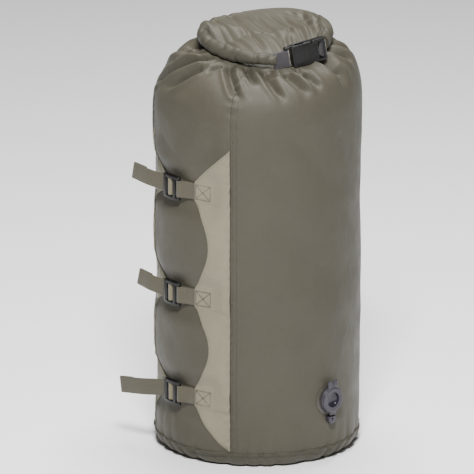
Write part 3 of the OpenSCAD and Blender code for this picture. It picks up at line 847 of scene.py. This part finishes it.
def make_stitching(materials):
    """Twin rows along both seams, rows round the strap panels and a crossed box at each strap."""
    seams = []
    for seam, offsets in ((FRONT_SEAM, (1.4, 3.6)), (SIDE_SEAM, (-1.4, -3.6))):
        for off in offsets:
            z = np.arange(22, 455, 3.0) * MM
            points, outs = surface_line(np.full(len(z), seam + off), z, 0.25 * MM)
            seams += stitch_line(points, outs, 3.2 * MM)

    edges = []
    for seam, direction, outline, _ in PANELS.values():
        z = np.arange(PANEL_LOW_Z / MM + 4, PANEL_TOP_Z / MM - 3, 2.0) * MM
        lifts = [panel_lift(h) + 0.2 * MM for h in z]
        at_edge = [seam + direction * (max(0.6, outline(h) - 1.1)) for h in z]
        at_seam = [seam + direction * 1.2 for h in z]
        for az in (at_edge, at_seam):
            points, outs = surface_line(az, z, lifts)
            edges += stitch_line(points, outs, 3.0 * MM)

    boxes = []
    for z in STRAP_Z:
        for near, far in ((FRONT_SEAM - PEAK_SPAN + 0.8, FRONT_SEAM - PEAK_SPAN + 10.5),
                          (SIDE_SEAM + PEAK_SPAN - 10.5, SIDE_SEAM + PEAK_SPAN - 0.8)):
            boxes += box_x((near, far), z, 8.6 * MM, panel_lift(z) + 0.25 * MM)

    for name, stitches, thread, radius, slot in (
            ("seam_stitches", seams, "thread_dark", 0.32 * MM, "coated_cloth"),
            ("panel_stitches", edges, "thread_pale", 0.28 * MM, "pale_cloth"),
            ("box_stitches", boxes, "thread_dark", 0.36 * MM, "pale_cloth")):
        work = stitch_mesh(name, stitches, materials[thread], radius)
        settle(work, "root", slot)


# ---------------------------------------------------------------- rolled mouth and crown

# Centre line of the rolled mouth as in the CAD, in mm
ROLL_ROUTE = [
    (22, -76.5, 485.5), (5, -77, 486.5), (-16, -72, 488), (-36, -61, 490.5),
    (-53, -43, 493.5), (-62, -20, 496), (-62, 6, 496), (-50, 32, 495),
    (-25, 51, 496), (5, 60, 498.5), (35, 58, 500.5), (58, 44, 500.5),
    (74, 22, 499), (79, -4, 497), (77, -26, 494.5), (75, -36, 493.5),
]


# Creases across the roll: place along it (mm), slant, width in mm and depth in mm
ROLL_CREASES = [(7 + k * 10.7 + rng.uniform(-4, 4), rng.uniform(-9, 9), rng.uniform(2, 4.5),
                 rng.uniform(0.7, 2.0)) for k in range(44)]


def roll_crumple(length, a):
    """Depth in mm of the roll's creases at a place along it and an angle round it."""
    depth = 0.0
    for at, slant, width, deep in ROLL_CREASES:
        away = length - at - slant * math.sin(a + at)
        if abs(away) < 4 * width:
            depth += deep * math.exp(-abs(away / width) ** 1.3) * (0.6 + 0.4 * math.cos(a - at))
    return depth


def make_roll(materials):
    """The rolled mouth: turns of cloth with pleats, a lip and folded-in ends."""
    path = smooth_path([Vector(p) * MM for p in ROLL_ROUTE], 16)
    frames = frames_along(path)
    sides = 44
    points, uvs, length = [], [], 0.0
    total = len(path) - 1
    for i, (p, (t, side, up)) in enumerate(zip(path, frames)):
        if i:
            length += (p - path[i - 1]).length
        near_left = math.exp(-i / 24)
        near_right = math.exp(-(total - i) / 21)
        tall = (9.2 - 2.4 * near_left + 0.6 * near_right) * MM
        thick = (8.0 - 3.0 * near_left + 0.8 * near_right) * MM
        for j in range(sides):
            a = 2 * math.pi * j / sides
            wrapping = 0.55 * math.sin(2 * a + length / MM / 11) * MM
            pleat = (0.5 + 0.9 * near_right) * math.sin(length / MM / 2.6 + 2.3 * math.sin(a + 0.6)
                                                        + 1.3 * math.sin(length / MM / 7)) * MM
            lip = 1.1 * MM * math.exp(-((math.sin(a / 2 + length / MM / 160) - 0.35) / 0.09) ** 2)
            grow = wrapping + pleat * 0.55 - lip - roll_crumple(length / MM, a) * MM
            points.append(p + side * (thick + grow) * math.cos(a) + up * (tall + grow) * math.sin(a))
            uvs.append((length, a / (2 * math.pi) * 60 * MM))
    faces = grid_faces(len(path), sides, closed=True)
    for end, first in ((0, 0), (1, total * sides)):
        t = frames[-1 if end else 0][0]
        ring = [first + j for j in range(sides)]
        inner_first = len(points)
        centre = path[-1 if end else 0]
        for depth, share in ((0.8 * MM, 0.82), (0.4 * MM, 0.62), (1.0 * MM, 0.42), (0.5 * MM, 0.2)):
            for j in range(sides):
                out = Vector(points[ring[j]]) - centre
                points.append(centre + out * share + t * (depth * (1 if end == 0 else -1)))
                uvs.append((length, share * 60 * MM))
        loops = [ring] + [[inner_first + k * sides + j for j in range(sides)] for k in range(4)]
        for a_ring, b_ring in zip(loops, loops[1:]):
            for j in range(sides):
                quad = (a_ring[j], a_ring[(j + 1) % sides], b_ring[(j + 1) % sides], b_ring[j])
                faces.append(quad if end else quad[::-1])
        cap = tuple(loops[-1])
        faces.append(cap if end else cap[::-1])
    # The roll is drawn in the olive copy darkened to 0.8: painted shade on the rolled mouth.
    roll = new_object("roll_cloth", points, faces, materials["olive_roll_painted_shade"], uvs)
    add_modifier(roll, "SUBSURF", levels=1, render_levels=1)
    apply_modifiers(roll)
    settle(roll, "root", "coated_cloth", "closure_roll")


def ring_profile():
    """Radius and height of the roll's centre line round the ring, by azimuth."""
    path = smooth_path([Vector(p) * MM for p in ROLL_ROUTE], 12)
    # The gap at the buckle is bridged by the straight line between the roll's ends
    bridge = [path[0].lerp(path[-1], k) for k in (0.25, 0.5, 0.75)]
    table = []
    for p in path + bridge:
        d = p - RING_AT
        table.append((math.degrees(math.atan2(d.x, -d.y)), math.hypot(d.x, d.y), p.z))
    table.sort()
    return np.array(table)


# Profiles of the crown from its middle out, inside the ring in front and over the roll at the back. Each
# point is a share of the ring's radius and mm past it, then a share of the ring's height and mm over it.
CROWN_FRONT = [(0, 0, 0, 499), (0.25, 0, 0, 496.5), (0.5, 0, 0, 491), (0.68, 0, 0, 485),
               (1, -11.5, 0, 479), (1, -11, 0, 474), (1, -11.5, 0, 468)]
CROWN_BACK = [(0, 0, 0, 499), (0.28, 0, 0, 501.5), (0.6, 0, 0, 504.5), (1, -6, 1, 9.6),
              (1, 1, 1, 10.6), (1, 8.5, 1, 7), (1, 11, 1, -1)]


def crown_profile(table, ring_r, ring_z):
    """Radius and height of each point of a crown profile, in metres."""
    return np.array([(share * ring_r + past * MM, lift * ring_z + up * MM)
                     for share, past, lift, up in table])


def make_crown(materials):
    """The neck's cloth: it dips inside the ring in front and passes over the roll at the back."""
    table = ring_profile()
    cols = 400
    az = np.linspace(-180, 180, cols + 1)[:-1]
    ring_r = np.interp(az, table[:, 0], table[:, 1], period=360)
    ring_z = np.interp(az, table[:, 0], table[:, 2], period=360)
    over = smooth((np.abs(wrap(az + 8)) - 72) / 34)
    steps = 86
    grid = []
    for a, rr, rz, w in zip(az, ring_r, ring_z, over):
        front = crown_profile(CROWN_FRONT, rr, rz)
        back = crown_profile(CROWN_BACK, rr, rz)
        profile = hermite_table(front + (back - front) * w, 12)
        s = np.linspace(0, len(profile) - 1, steps)
        r, z = (np.interp(s, np.arange(len(profile)), profile[:, k]) for k in (0, 1))
        grid.append(polar(a, r, z, RING_AT))
    points = np.array(grid).transpose(1, 0, 2)
    points[..., 2] -= crown_folds(points)
    rows = points.shape[0]
    flat = [points[0].mean(0)] + list(points[1:].reshape(-1, 3))
    faces = grid_faces(rows - 1, cols, first=1, closed=True)
    faces += [(0, 1 + j, 1 + (j + 1) % cols) for j in range(cols)]
    faces = [f[::-1] for f in faces]
    uvs = [(p[0], p[1]) for p in flat]
    crown = new_object("crown_cloth", flat, faces, materials["olive"], uvs)
    add_modifier(crown, "SOLIDIFY", thickness=CLOTH_T, offset=-1.0)
    apply_modifiers(crown)
    settle(crown, "root", "coated_cloth", "crown_panel")


# Long folds over the crown: a point on each in mm, its heading in degrees from -Y
# towards +X, half length, width and depth in mm
CROWN_FOLDS = [
    (-44, 4, 26, 50, 4, 2.6), (-30, -8, 30, 60, 2.6, 2.2), (-13, 2, 24, 70, 3, 3.0),
    (2, 14, 27, 62, 2.6, 1.6), (17, -4, 24, 62, 3, 3.0), (33, 6, 30, 58, 2.6, 2.2),
    (46, 0, 26, 50, 3, 3.4), (58, 14, 12, 38, 3, 3.8), (66, 4, 38, 34, 2.6, 3.2),
    (54, 30, 48, 30, 3, 3.0), (70, 18, 2, 26, 2.4, 2.6), (-50, -14, 34, 28, 3, 2.8),
    (38, -18, 2, 26, 3, 2.6),
]


def crown_folds(points):
    """Depth of the crown's folds at each point."""
    depth = np.zeros(points.shape[:2])
    for x, y, heading, half, width, deep in CROWN_FOLDS:
        h = math.radians(heading)
        along = np.array([math.sin(h), -math.cos(h)])
        p = points[..., :2] - np.array([x, y]) * MM
        t = (p @ along) / (half * MM)
        across = (p[..., 0] * along[1] - p[..., 1] * along[0]) / (width * MM)
        depth += deep * MM * smooth((1 - np.abs(t)) / 0.5) * valley(across)
    return depth


# ---------------------------------------------------------------- closure buckle

def buckle_axes():
    """Origin and axes of the side-release buckle, from its joints."""
    x = Vector(joint("buckle_release")["axis"]).normalized()
    y = Vector(joint("arm_lower_squeeze")["axis"]).normalized()
    z = x.cross(y).normalized()
    upper = Vector(joint("arm_upper_squeeze")["pos_m"])
    lower = Vector(joint("arm_lower_squeeze")["pos_m"])
    return (upper + lower) / 2 - x * 7.4 * MM, x, y, z


BUCKLE_AT, BX, BY, BZ = buckle_axes()


def from_buckle(x, y, z):
    """A point in the buckle's own axes, in mm, in the row frame."""
    return BUCKLE_AT + (BX * x + BY * y + BZ * z) * MM


def outline_solid(name, outline, low, high, place, material, bevel, segments=3, holes=()):
    """A plate cut to outline with holes, from low to high, placed by place(x, y, height).

    Everything is in mm before it is placed.
    """
    work = bmesh.new()

    def loop(points):
        verts = [work.verts.new((x, y, 0)) for x, y in points]
        return [work.edges.new((verts[i], verts[(i + 1) % len(verts)])) for i in range(len(verts))]

    edges = [edge for points in (outline, *holes) for edge in loop(points)]
    bmesh.ops.triangle_fill(work, use_beauty=True, use_dissolve=False, edges=edges,
                            normal=(0, 0, 1))
    made = bmesh.ops.extrude_face_region(work, geom=work.faces[:])
    for v in (g for g in made["geom"] if isinstance(g, bmesh.types.BMVert)):
        v.co.z = 1
    bmesh.ops.recalc_face_normals(work, faces=work.faces[:])
    bmesh.ops.dissolve_limit(work, angle_limit=math.radians(1), verts=work.verts[:],
                             edges=work.edges[:])
    mesh = bpy.data.meshes.new(name)
    work.to_mesh(mesh)
    work.free()
    for v in mesh.vertices:
        v.co = Vector((v.co.x, v.co.y, low if v.co.z < 0.5 else high))
    obj = add_object(name, mesh)
    add_modifier(obj, "BEVEL", width=bevel, segments=segments, limit_method="ANGLE",
                 angle_limit=math.radians(35))
    apply_modifiers(obj)
    for v in obj.data.vertices:
        v.co = place(*v.co)
    if negative(place):
        obj.data.flip_normals()
    obj.data.materials.append(material)
    shade_auto(obj)
    return obj


def negative(place):
    """Whether place mirrors what it places."""
    o, x, y, z = place(0, 0, 0), place(1, 0, 0), place(0, 1, 0), place(0, 0, 1)
    return (x - o).cross(y - o).dot(z - o) < 0


def shade_auto(obj, angle=40):
    """Smooth shading with sharp edges where faces meet at more than angle degrees."""
    obj.data.shade_smooth()
    work = bmesh.new()
    work.from_mesh(obj.data)
    limit = math.radians(angle)
    for e in work.edges:
        if len(e.link_faces) == 2 and e.calc_face_angle(0) > limit:
            e.smooth = False
    work.to_mesh(obj.data)
    work.free()


def rounded_rect(x0, x1, y0, y1, r):
    """Outline of a rectangle with corners of radius r."""
    steps = 5
    points = []
    for cx, cy, start in ((x1 - r, y1 - r, 0), (x0 + r, y1 - r, 90), (x0 + r, y0 + r, 180),
                          (x1 - r, y0 + r, 270)):
        for k in range(steps + 1):
            a = math.radians(start + 90 * k / steps)
            points.append((cx + r * math.cos(a), cy + r * math.sin(a)))
    return points


def bar(name, start, end, radius, material):
    """A round bar between two points, with rounded ends."""
    t = (end - start).normalized()
    side = t.cross(Vector((0.3, 0.2, 1))).normalized()
    out = side.cross(t).normalized()
    points = []
    sides = 20
    for s, share in ((0, 0.75), (0.02, 1), (0.98, 1), (1, 0.75)):
        for j in range(sides):
            a = 2 * math.pi * j / sides
            points.append(start.lerp(end, s) + side * radius * share * math.cos(a)
                          + out * radius * share * math.sin(a))
    faces = grid_faces(4, sides, closed=True)
    faces.append(tuple(range(sides - 1, -1, -1)))
    faces.append(tuple(3 * sides + j for j in range(sides)))
    obj = new_object(name, points, faces, material)
    shade_auto(obj)
    return obj


def join(name, parts):
    """One piece from several meshes of the same material."""
    work = bmesh.new()
    for part in parts:
        work.from_mesh(part.data)
    mesh = bpy.data.meshes.new(name)
    work.to_mesh(mesh)
    work.free()
    mesh.materials.append(parts[0].data.materials[0])
    for part in parts:
        bpy.data.objects.remove(part)
    return add_object(name, mesh)


BUCKLE_HALF = 13.5
SOCKET_MOUTH = 8.0
BAR_R = 1.5 * MM
# Outline of the upper arm and its catch
ARM = [(7.4, 6.8), (7.4, 9.4), (2.6, 9.6), (-2.2, 9.7), (-2.8, 10.7), (-5, 10.75), (-8, 10.4),
       (-11, 9.2), (-12.5, 7.4), (-11.6, 6.6), (-4, 6.9), (2, 7.0)]


def across_buckle(x, z, y):
    return from_buckle(x, -y, z)


def buckle_bar(name, x, y, half, radius, material):
    return bar(name, from_buckle(x, y, -half), from_buckle(x, y, half), radius, material)


def buckle_plate(name, box, corner, depth, material, bevel, segments=3, holes=()):
    """A plate over box (x0, x1, z0, z1) with round corners, depth mm to both sides or (low, high)."""
    low, high = depth if isinstance(depth, tuple) else (-depth, depth)
    return outline_solid(name, rounded_rect(*box, corner), low, high, across_buckle, material,
                         bevel, segments, holes)


def make_socket(materials):
    """Two faces, side rails with windows between them, the webbing bar and a raised rim."""
    black, half = materials["black"], BUCKLE_HALF
    parts = [buckle_plate("face", (-18, SOCKET_MOUTH, -half, half), 2.6, depth, black, 0.7)
             for depth in ((3.0, 5.0), (-5.0, -3.0))]
    for s in (-1, 1):
        rail_z = sorted((s * 11.0, s * half))
        for x0, x1 in ((-16.5, -12.0), (-2.0, SOCKET_MOUTH)):
            parts.append(buckle_plate("rail", (x0, x1, *rail_z), 0.6, 3.4, black, 0.4))
        tail_z = sorted((s * 10.4, s * half))
        parts.append(buckle_plate("tail_rail", (-26.0, -15.0, *tail_z), 1.2, 2.5, black, 0.8))
    parts.append(buckle_plate("wall", (-18.0, -15.8, -12.0, 12.0), 0.5, 3.4, black, 0.3))
    parts.append(buckle_bar("bar", -24.5, 0, 12.5, BAR_R, black))
    inner = rounded_rect(-14.5, 4.6, -9.5, 9.5, 2.0)
    parts.append(buckle_plate("rim", (-15.5, 5.6, -10.5, 10.5), 2.5, (4.9, 5.35), black, 0.15, 2,
                              [inner]))
    settle(join("socket_shell", parts), "root", "buckle_plastic", "buckle_socket",
           "socket_face_outer", "socket_face_inner", "socket_cheek_upper", "socket_cheek_lower")


def make_plug(materials):
    """The plate with its webbing slot, the guide tongue, the webbing bar and grip ribs."""
    black, half = materials["black"], BUCKLE_HALF
    slot = rounded_rect(15.5, 22.0, -10.5, 10.5, 0.8)[::-1]
    parts = [buckle_plate("plate", (8.3, 25.0, -half, half), 2.2, 4.0, black, 0.8, 3, [slot]),
             buckle_plate("tongue", (-10.0, 9.0, -2.5, 2.5), 1.0, 2.2, black, 0.5),
             buckle_bar("bar", 23.7, 0, 12.5, BAR_R, black)]
    parts += [buckle_bar("rib", x, -4.0, 9.5, 0.45 * MM, black) for x in (10.4, 12.0, 13.6)]
    settle(join("plug_shell", parts), "plug", "buckle_plastic", "buckle_plug")


def make_arms(materials):
    for which, s in (("upper", 1), ("lower", -1)):
        outline = [(x, s * z) for x, z in ARM][::s]
        arm = outline_solid(f"arm_{which}_shell", outline, -2.5, 2.5, across_buckle,
                            materials["black"], 0.35)
        settle(arm, f"arm_{which}", "buckle_plastic", f"buckle_arm_{which}")


# Routes of the closure's webbing in the buckle's x and y: out of the roll, round the socket's bar and
# back, and round the plug's bar and back into the roll's right end
LEFT_ROUTE = [(-41, 0.6), (-36, 1.0), (-31, 1.2), (-27.6, 2.4), (-24.5, 2.7), (-21.9, 0.6),
              (-22.5, -1.8), (-24.6, -2.6), (-27.8, -1.6), (-31, -0.8), (-36, -0.7), (-41, -0.8)]
RIGHT_ROUTE = [(20.4, 13.5), (20.9, 8.5), (20.9, 4.0), (21.3, -0.8), (23.7, -2.6), (26.2, -0.6),
               (26.3, 2.5), (24.8, 6.5), (24.0, 9.0), (23.4, 13.5)]


def closure_strap(name, route, materials):
    path = smooth_path([from_buckle(x, y, 0) for x, y in route], 5)
    return ribbon(name, path, [BZ] * len(path), materials["web_dark"])


def make_closure_webs(materials):
    left = closure_strap("closure_strap_left", LEFT_ROUTE, materials)
    settle(left, "root", "webbing", "closure_web_left")
    right = closure_strap("closure_strap_right", RIGHT_ROUTE, materials)
    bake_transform(right)
    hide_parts("closure_web_right", "closure_tab_right")


# ---------------------------------------------------------------- compression straps

# Axes at a ladder lock: u towards the front, v up, w outwards
LOCK_U, LOCK_V, LOCK_W = sideways(LOCK_AZ), UP, outward(LOCK_AZ)


def strap_point(i, u, v, w):
    """A point at strap i in its lock's axes, in mm over the drawn-in cloth."""
    origin = LOCK_W * STRAP_R + UP * STRAP_Z[i]
    return origin + (LOCK_U * u + LOCK_V * v + LOCK_W * w) * MM


def strap_points(i, route):
    """Points at strap i's middle height from (u, w) pairs."""
    return [strap_point(i, u, 0, w) for u, w in route]


def on_arc(i, az, w):
    """A point at azimuth az, w mm above the drawn-in cloth."""
    return outward(az) * (STRAP_R + w * MM) + UP * STRAP_Z[i]


ANCHOR_U = 12.4
LOCK_LOW = 3.8
ANCHOR_W = LOCK_LOW + 1.3
CROSS_U, CROSS_W = -1.0, LOCK_LOW + 3.3
TAIL_U, TAIL_W = -14.6, LOCK_LOW + 0.9
TAIL_LENGTH = [66, 40, 47]
TAIL_SLANT = [-7, 12, 10]
TAIL_TURN = 19


def make_anchor(i, materials):
    """Out from under the front panel, round the lock's anchor bar and back."""
    control = [on_arc(i, az, 1.0) for az in (-28, -31, -34, -37)]
    control += [on_arc(i, -40, 1.9), on_arc(i, -43, 3.0)]
    control += strap_points(i, [(16.2, 5.8), (14.6, 7.6), (12.4, 8.0), (10.1, 7.0), (9.4, 5.1),
                                (10.2, 3.2), (12.4, 2.2), (15.2, 1.6)])
    control += [on_arc(i, -44.5, 1.3), on_arc(i, -42, 1.0), on_arc(i, -40, 0.8)]
    path = smooth_path(control, 4)
    web = ribbon(f"anchor_strap_{i + 1}", path, [UP] * len(path), materials["web"])
    settle(web, "root", "webbing", f"anchor_web_{i + 1}")


def make_adjuster(i, materials):
    """The load part up to the top of the cross bar."""
    control = [on_arc(i, az, 1.0) for az in (-70, -67, -64, -61, -58.6)]
    control += strap_points(i, [(-6, 1.7), (-3, 2.2), (-0.6, 3.0), (1.4, 4.4), (2.0, 6.6),
                                (1.2, 8.8), (-1.0, 9.9), (-2.6, 9.7)])
    path = smooth_path(control, 4)
    # The load strap uses the webbing drawn 2.6 times as bright: painted light.
    web = ribbon(f"load_strap_{i + 1}", path, [UP] * len(path), materials["web_lit"])
    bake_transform(web)
    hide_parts(f"adjuster_web_{i + 1}", f"lock_wrap_{i + 1}")


TAIL_SAG = [0, 0.6, 1.6, 2.2, 1.8, 0.9, 0.2]
HEM = 17 * MM


def make_tail(i, materials):
    """From the top of the cross bar, under the toe and out, with its folded hem."""
    turn, slant = math.radians(TAIL_TURN), math.radians(TAIL_SLANT[i])
    flat = LOCK_W * math.sin(turn) - LOCK_U * math.cos(turn)
    direction = flat * math.cos(slant) + LOCK_V * math.sin(slant)
    face = (LOCK_W * math.cos(turn) + LOCK_U * math.sin(turn)).normalized()
    start = strap_point(i, TAIL_U, 0, TAIL_W)
    control = strap_points(i, [(-1.6, 9.95), (-3.6, 9.2), (-5.6, 7.4), (-8.0, 5.6), (-10.8, 4.8)])
    control.append(start - direction * 1.5 * MM + face * 0.1 * MM)
    for s, sag in zip(np.linspace(0.08, 1.0, len(TAIL_SAG)), TAIL_SAG):
        control.append(start + direction * (s * TAIL_LENGTH[i] * MM) + face * sag * MM)
    end = control[-1]
    # The end is folded back under itself to make the hem
    fold = [end + direction * 1.0 * MM - face * 0.8 * MM,
            end - direction * 1.5 * MM - face * 1.65 * MM,
            end - direction * HEM * 0.55 - face * 1.2 * MM,
            end - direction * HEM - face * 0.9 * MM]
    path = smooth_path(control + fold, 4)
    across = direction.cross(face).normalized()
    if across.z < 0:
        across = -across
    widths = []
    for p in path:
        k = float(smooth((p - start).dot(direction) / (12 * MM)))
        widths.append(LOCK_V.lerp(across, k).normalized())
    web = ribbon(f"tail_strap_{i + 1}", path, widths, materials["web"], 1.25 * MM)
    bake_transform(web)
    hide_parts(f"pull_tail_{i + 1}")
    # Bar tack that holds the hem
    at = end - direction * (HEM - 2 * MM) + face * 0.75 * MM
    tack = []
    for off in (0, 1.3):
        line = [at + direction * off * MM + widths[-1] * x * MM for x in np.linspace(-8.6, 8.6, 12)]
        tack += stitch_line(line, [face] * len(line), 1.6 * MM, 0.85)
    work = stitch_mesh(f"hem_stitches_{i + 1}", tack, materials["thread_lit"], 0.34 * MM)
    settle(work, f"tail_{i + 1}", "webbing")


# The ladder lock in u and w: its rail, which is deepest over the cross bar and thin at the toe, the toe
# itself and the brow
LOCK_TOP = LOCK_LOW + 5.0
RAIL_LOW = LOCK_LOW + 0.2
RAIL = [(14.4, RAIL_LOW), (14.6, LOCK_TOP - 1.4), (11.6, LOCK_TOP + 0.4), (4.0, LOCK_TOP + 1.8),
        (-3.0, LOCK_TOP + 2.0), (-9.0, LOCK_TOP + 1.2), (-13.0, LOCK_TOP), (-14.6, LOCK_TOP - 2.0),
        (-14.0, RAIL_LOW + 1.2), (-8.0, RAIL_LOW), (4, RAIL_LOW - 0.2)]
TOE = [(-14.8, LOCK_TOP - 1.6), (-13.4, LOCK_TOP + 0.6), (-10.2, LOCK_TOP + 1.4),
       (-7.0, LOCK_TOP + 0.6), (-7.2, LOCK_TOP - 0.8), (-9.8, LOCK_TOP - 2.2),
       (-12.6, LOCK_TOP - 2.9), (-14.4, LOCK_TOP - 2.7)]
BROW = [(4.4, LOCK_TOP - 0.4), (5.6, LOCK_TOP + 1.5), (8.6, LOCK_TOP + 1.2), (9.6, LOCK_TOP - 0.2),
        (8.2, LOCK_TOP - 0.9)]
RAIL_IN, RAIL_OUT = 10.3, 14.2


def make_lock(i, materials):
    """Two rails, the toe, the brow and the bars of one ladder lock."""
    black = materials["black"]

    def place(u, w, v):
        return strap_point(i, u, v, w)

    def solid(name, outline, low, high, bevel, segments=3):
        return outline_solid(name, outline, low, high, place, black, bevel, segments)

    def lock_bar(name, u, w):
        return bar(name, place(u, w, -12.2), place(u, w, 12.2), BAR_R, black)

    lock = join(f"lock_shell_{i + 1}", [
        solid("rail", RAIL, -RAIL_OUT, -RAIL_IN, 0.9, 4), solid("rail", RAIL, RAIL_IN, RAIL_OUT, 0.9, 4),
        solid("toe", TOE, -12.0, 12.0, 0.6), lock_bar("anchor_bar", ANCHOR_U, ANCHOR_W),
        solid("brow", BROW, -12.0, 12.0, 0.5), lock_bar("cross_bar", CROSS_U, CROSS_W)])
    settle(lock, f"lock_{i + 1}", "buckle_plastic", f"ladder_lock_{i + 1}")


# ---------------------------------------------------------------- air valve

def valve_point(x, y, w):
    """A point at the valve: x round the sack, y up, w outwards from the cloth, in mm."""
    return outward(VALVE_AZ) * (SACK_R + w * MM) + sideways(VALVE_AZ) * x * MM + UP * (VALVE_Z + y * MM)


def turned(name, profile, material, bend=False):
    """A ring turned about the valve's axis from (radius, height) points, bent to the sack if asked."""
    sides = 72
    points = []
    for r, w in profile:
        for j in range(sides):
            a = 2 * math.pi * j / sides
            x, y = r * math.cos(a), r * math.sin(a)
            drop = 0.0
            if bend:
                drop = (SACK_R / MM) - math.sqrt((SACK_R / MM) ** 2 - x * x)
            points.append(valve_point(x, y, w - drop))
    obj = new_object(name, points, ring_faces(len(profile), sides), material)
    work = bmesh.new()
    work.from_mesh(obj.data)
    bmesh.ops.recalc_face_normals(work, faces=work.faces[:])
    work.to_mesh(obj.data)
    work.free()
    shade_auto(obj, 50)
    return obj


def make_valve(materials):
    """Flange, seat, cap with its tab, a darker sheet of painted shade in its cup, and the hinge's lug."""
    grey, cup, skin = materials["valve"], materials["valve_cup_shade"], materials["valve_flange"]
    flange = turned("flange_disc", [(12.4, 0.3), (19.0, 0.3), (19.5, 0.5), (19.4, 0.9), (18.4, 1.15),
                                    (12.4, 1.25)], skin, bend=True)
    settle(flange, "root", "valve_polymer", "valve_flange")
    seat = turned("seat_ring", [(10.65, 4.9), (10.65, -7.0), (12.0, -7.0), (12.0, 1.6), (14.8, 1.6),
                                (15.5, 2.2), (15.5, 4.4), (14.9, 5.0), (11.0, 5.0)], grey)
    settle(seat, "root", "valve_polymer", "valve_seat")
    # Cap: rim, dished face and cup, with the plug under it
    cap_parts = [turned("cap", [(9.2, 7.6), (9.1, 4.0), (8.6, 3.4), (0.01, 3.2), (0.01, 2.0), (9.4, 2.0),
                                (10.2, 2.6), (10.2, 5.3), (15.0, 5.3), (15.5, 5.8), (15.5, 6.9),
                                (14.8, 7.8), (13.4, 8.1), (12.0, 7.7), (10.4, 7.7)], grey)]
    tab = [(-7.5, 13.0), (-7.5, 22.6), (-6.6, 24.0), (-3.0, 24.0), (-1.9, 22.8), (-1.7, 19.2),
           (0, 17.8), (1.7, 19.2), (1.9, 22.8), (3.0, 24.0), (6.6, 24.0), (7.5, 22.6), (7.5, 13.0)]
    cap_parts.append(outline_solid("tab", tab[::-1], 5.3, 7.4, valve_point, grey, 0.7))
    strap = [(-5.5, -12.0), (5.5, -12.0), (5.0, -18.4), (-5.0, -18.4)]
    cap_parts.append(outline_solid("hinge_strap", strap[::-1], 5.3, 7.2, valve_point, grey, 0.5))
    cap = join("cap_shell", cap_parts)
    settle(cap, "cap", "valve_polymer", "valve_cap")
    # A darker sheet laid in the cap's cup: painted shade for the recess.
    cup_shade_sheet = turned("cup_painted_shade", [(9.1, 7.5), (8.9, 4.3), (8.2, 3.55), (0.01, 3.4), (0.01, 3.25),
                                   (8.6, 3.45), (9.15, 4.1)], cup)
    settle(cup_shade_sheet, "cap", "valve_polymer")
    round_end = [(5.5 * math.cos(a), -24 + 5.5 * math.sin(a))
                 for a in np.linspace(math.pi, 2 * math.pi, 16)]
    lug = [(-5.2, -20.5)] + round_end + [(5.2, -20.5)]
    hole = [(1.25 * math.cos(a), -23.5 + 1.25 * math.sin(a))
            for a in np.linspace(0, 2 * math.pi, 17)[:-1]]
    lug_obj = outline_solid("lug_pad", lug, 0.6, 6.4, valve_point, grey, 0.6, holes=[hole])
    settle(lug_obj, "root", "valve_polymer", "valve_lug")


# ---------------------------------------------------------------- build

def make_materials():
    return {
        "olive": coated_cloth("coated_cloth_olive", OLIVE),
        # The body's olive at 0.8 brightness for the roll: painted shade, the same cloth.
        "olive_roll_painted_shade": coated_cloth("coated_cloth_roll_painted_shade", shade(OLIVE, 0.8)),
        "olive_dark": coated_cloth("binding_cloth", shade(OLIVE, 0.8)),
        "pale": coated_cloth("coated_cloth_pale", PALE),
        "web": webbing_material("webbing_olive", WEB),
        # The same webbing at 2.6 times the brightness for the load straps: painted light, not wear.
        "web_lit": webbing_material("webbing_painted_light", shade(WEB, 2.6)),
        "web_dark": webbing_material("webbing_dark", (0.026, 0.022, 0.026)),
        "black": moulded_plastic("buckle_black", BLACK),
        "valve": moulded_plastic("valve_grey", VALVE, 0.38),
        # Darker grey for the cap's cup: painted shade in the recess.
        "valve_cup_shade": moulded_plastic("valve_cup_painted_shade", (0.020, 0.018, 0.027), 0.16),
        "valve_flange": moulded_plastic("valve_flange_grey", (0.050, 0.045, 0.038), 0.34),
        "thread_dark": thread_material("thread_dark", (0.020, 0.018, 0.012)),
        "thread_pale": thread_material("thread_pale", (0.17, 0.155, 0.11)),
        "thread_lit": thread_material("thread_light", (0.42, 0.40, 0.33)),
    }


def finish_inner_nodes(materials):
    """Sealed inner pieces keep their CAD shape and get real finishes."""
    finishes = {"front_seam_tape": "valve_flange", "side_seam_tape": "valve_flange",
                "mouth_stiffener": "black", "valve_flap": "valve"}
    for node, key in finishes.items():
        mesh = frame["nodes"][node].data
        mesh.materials.clear()
        mesh.materials.append(materials[key])


make_camera()
make_studio()
looks = make_materials()
make_shell(looks)
make_base(looks)
make_binding(looks)
for panel_side in PANELS:
    strap_panel(panel_side, looks["pale"])
make_roll(looks)
make_crown(looks)
make_socket(looks)
make_plug(looks)
make_arms(looks)
make_closure_webs(looks)
for strap in range(3):
    make_anchor(strap, looks)
    make_adjuster(strap, looks)
    make_tail(strap, looks)
    make_lock(strap, looks)
make_stitching(looks)
make_valve(looks)
finish_inner_nodes(looks)
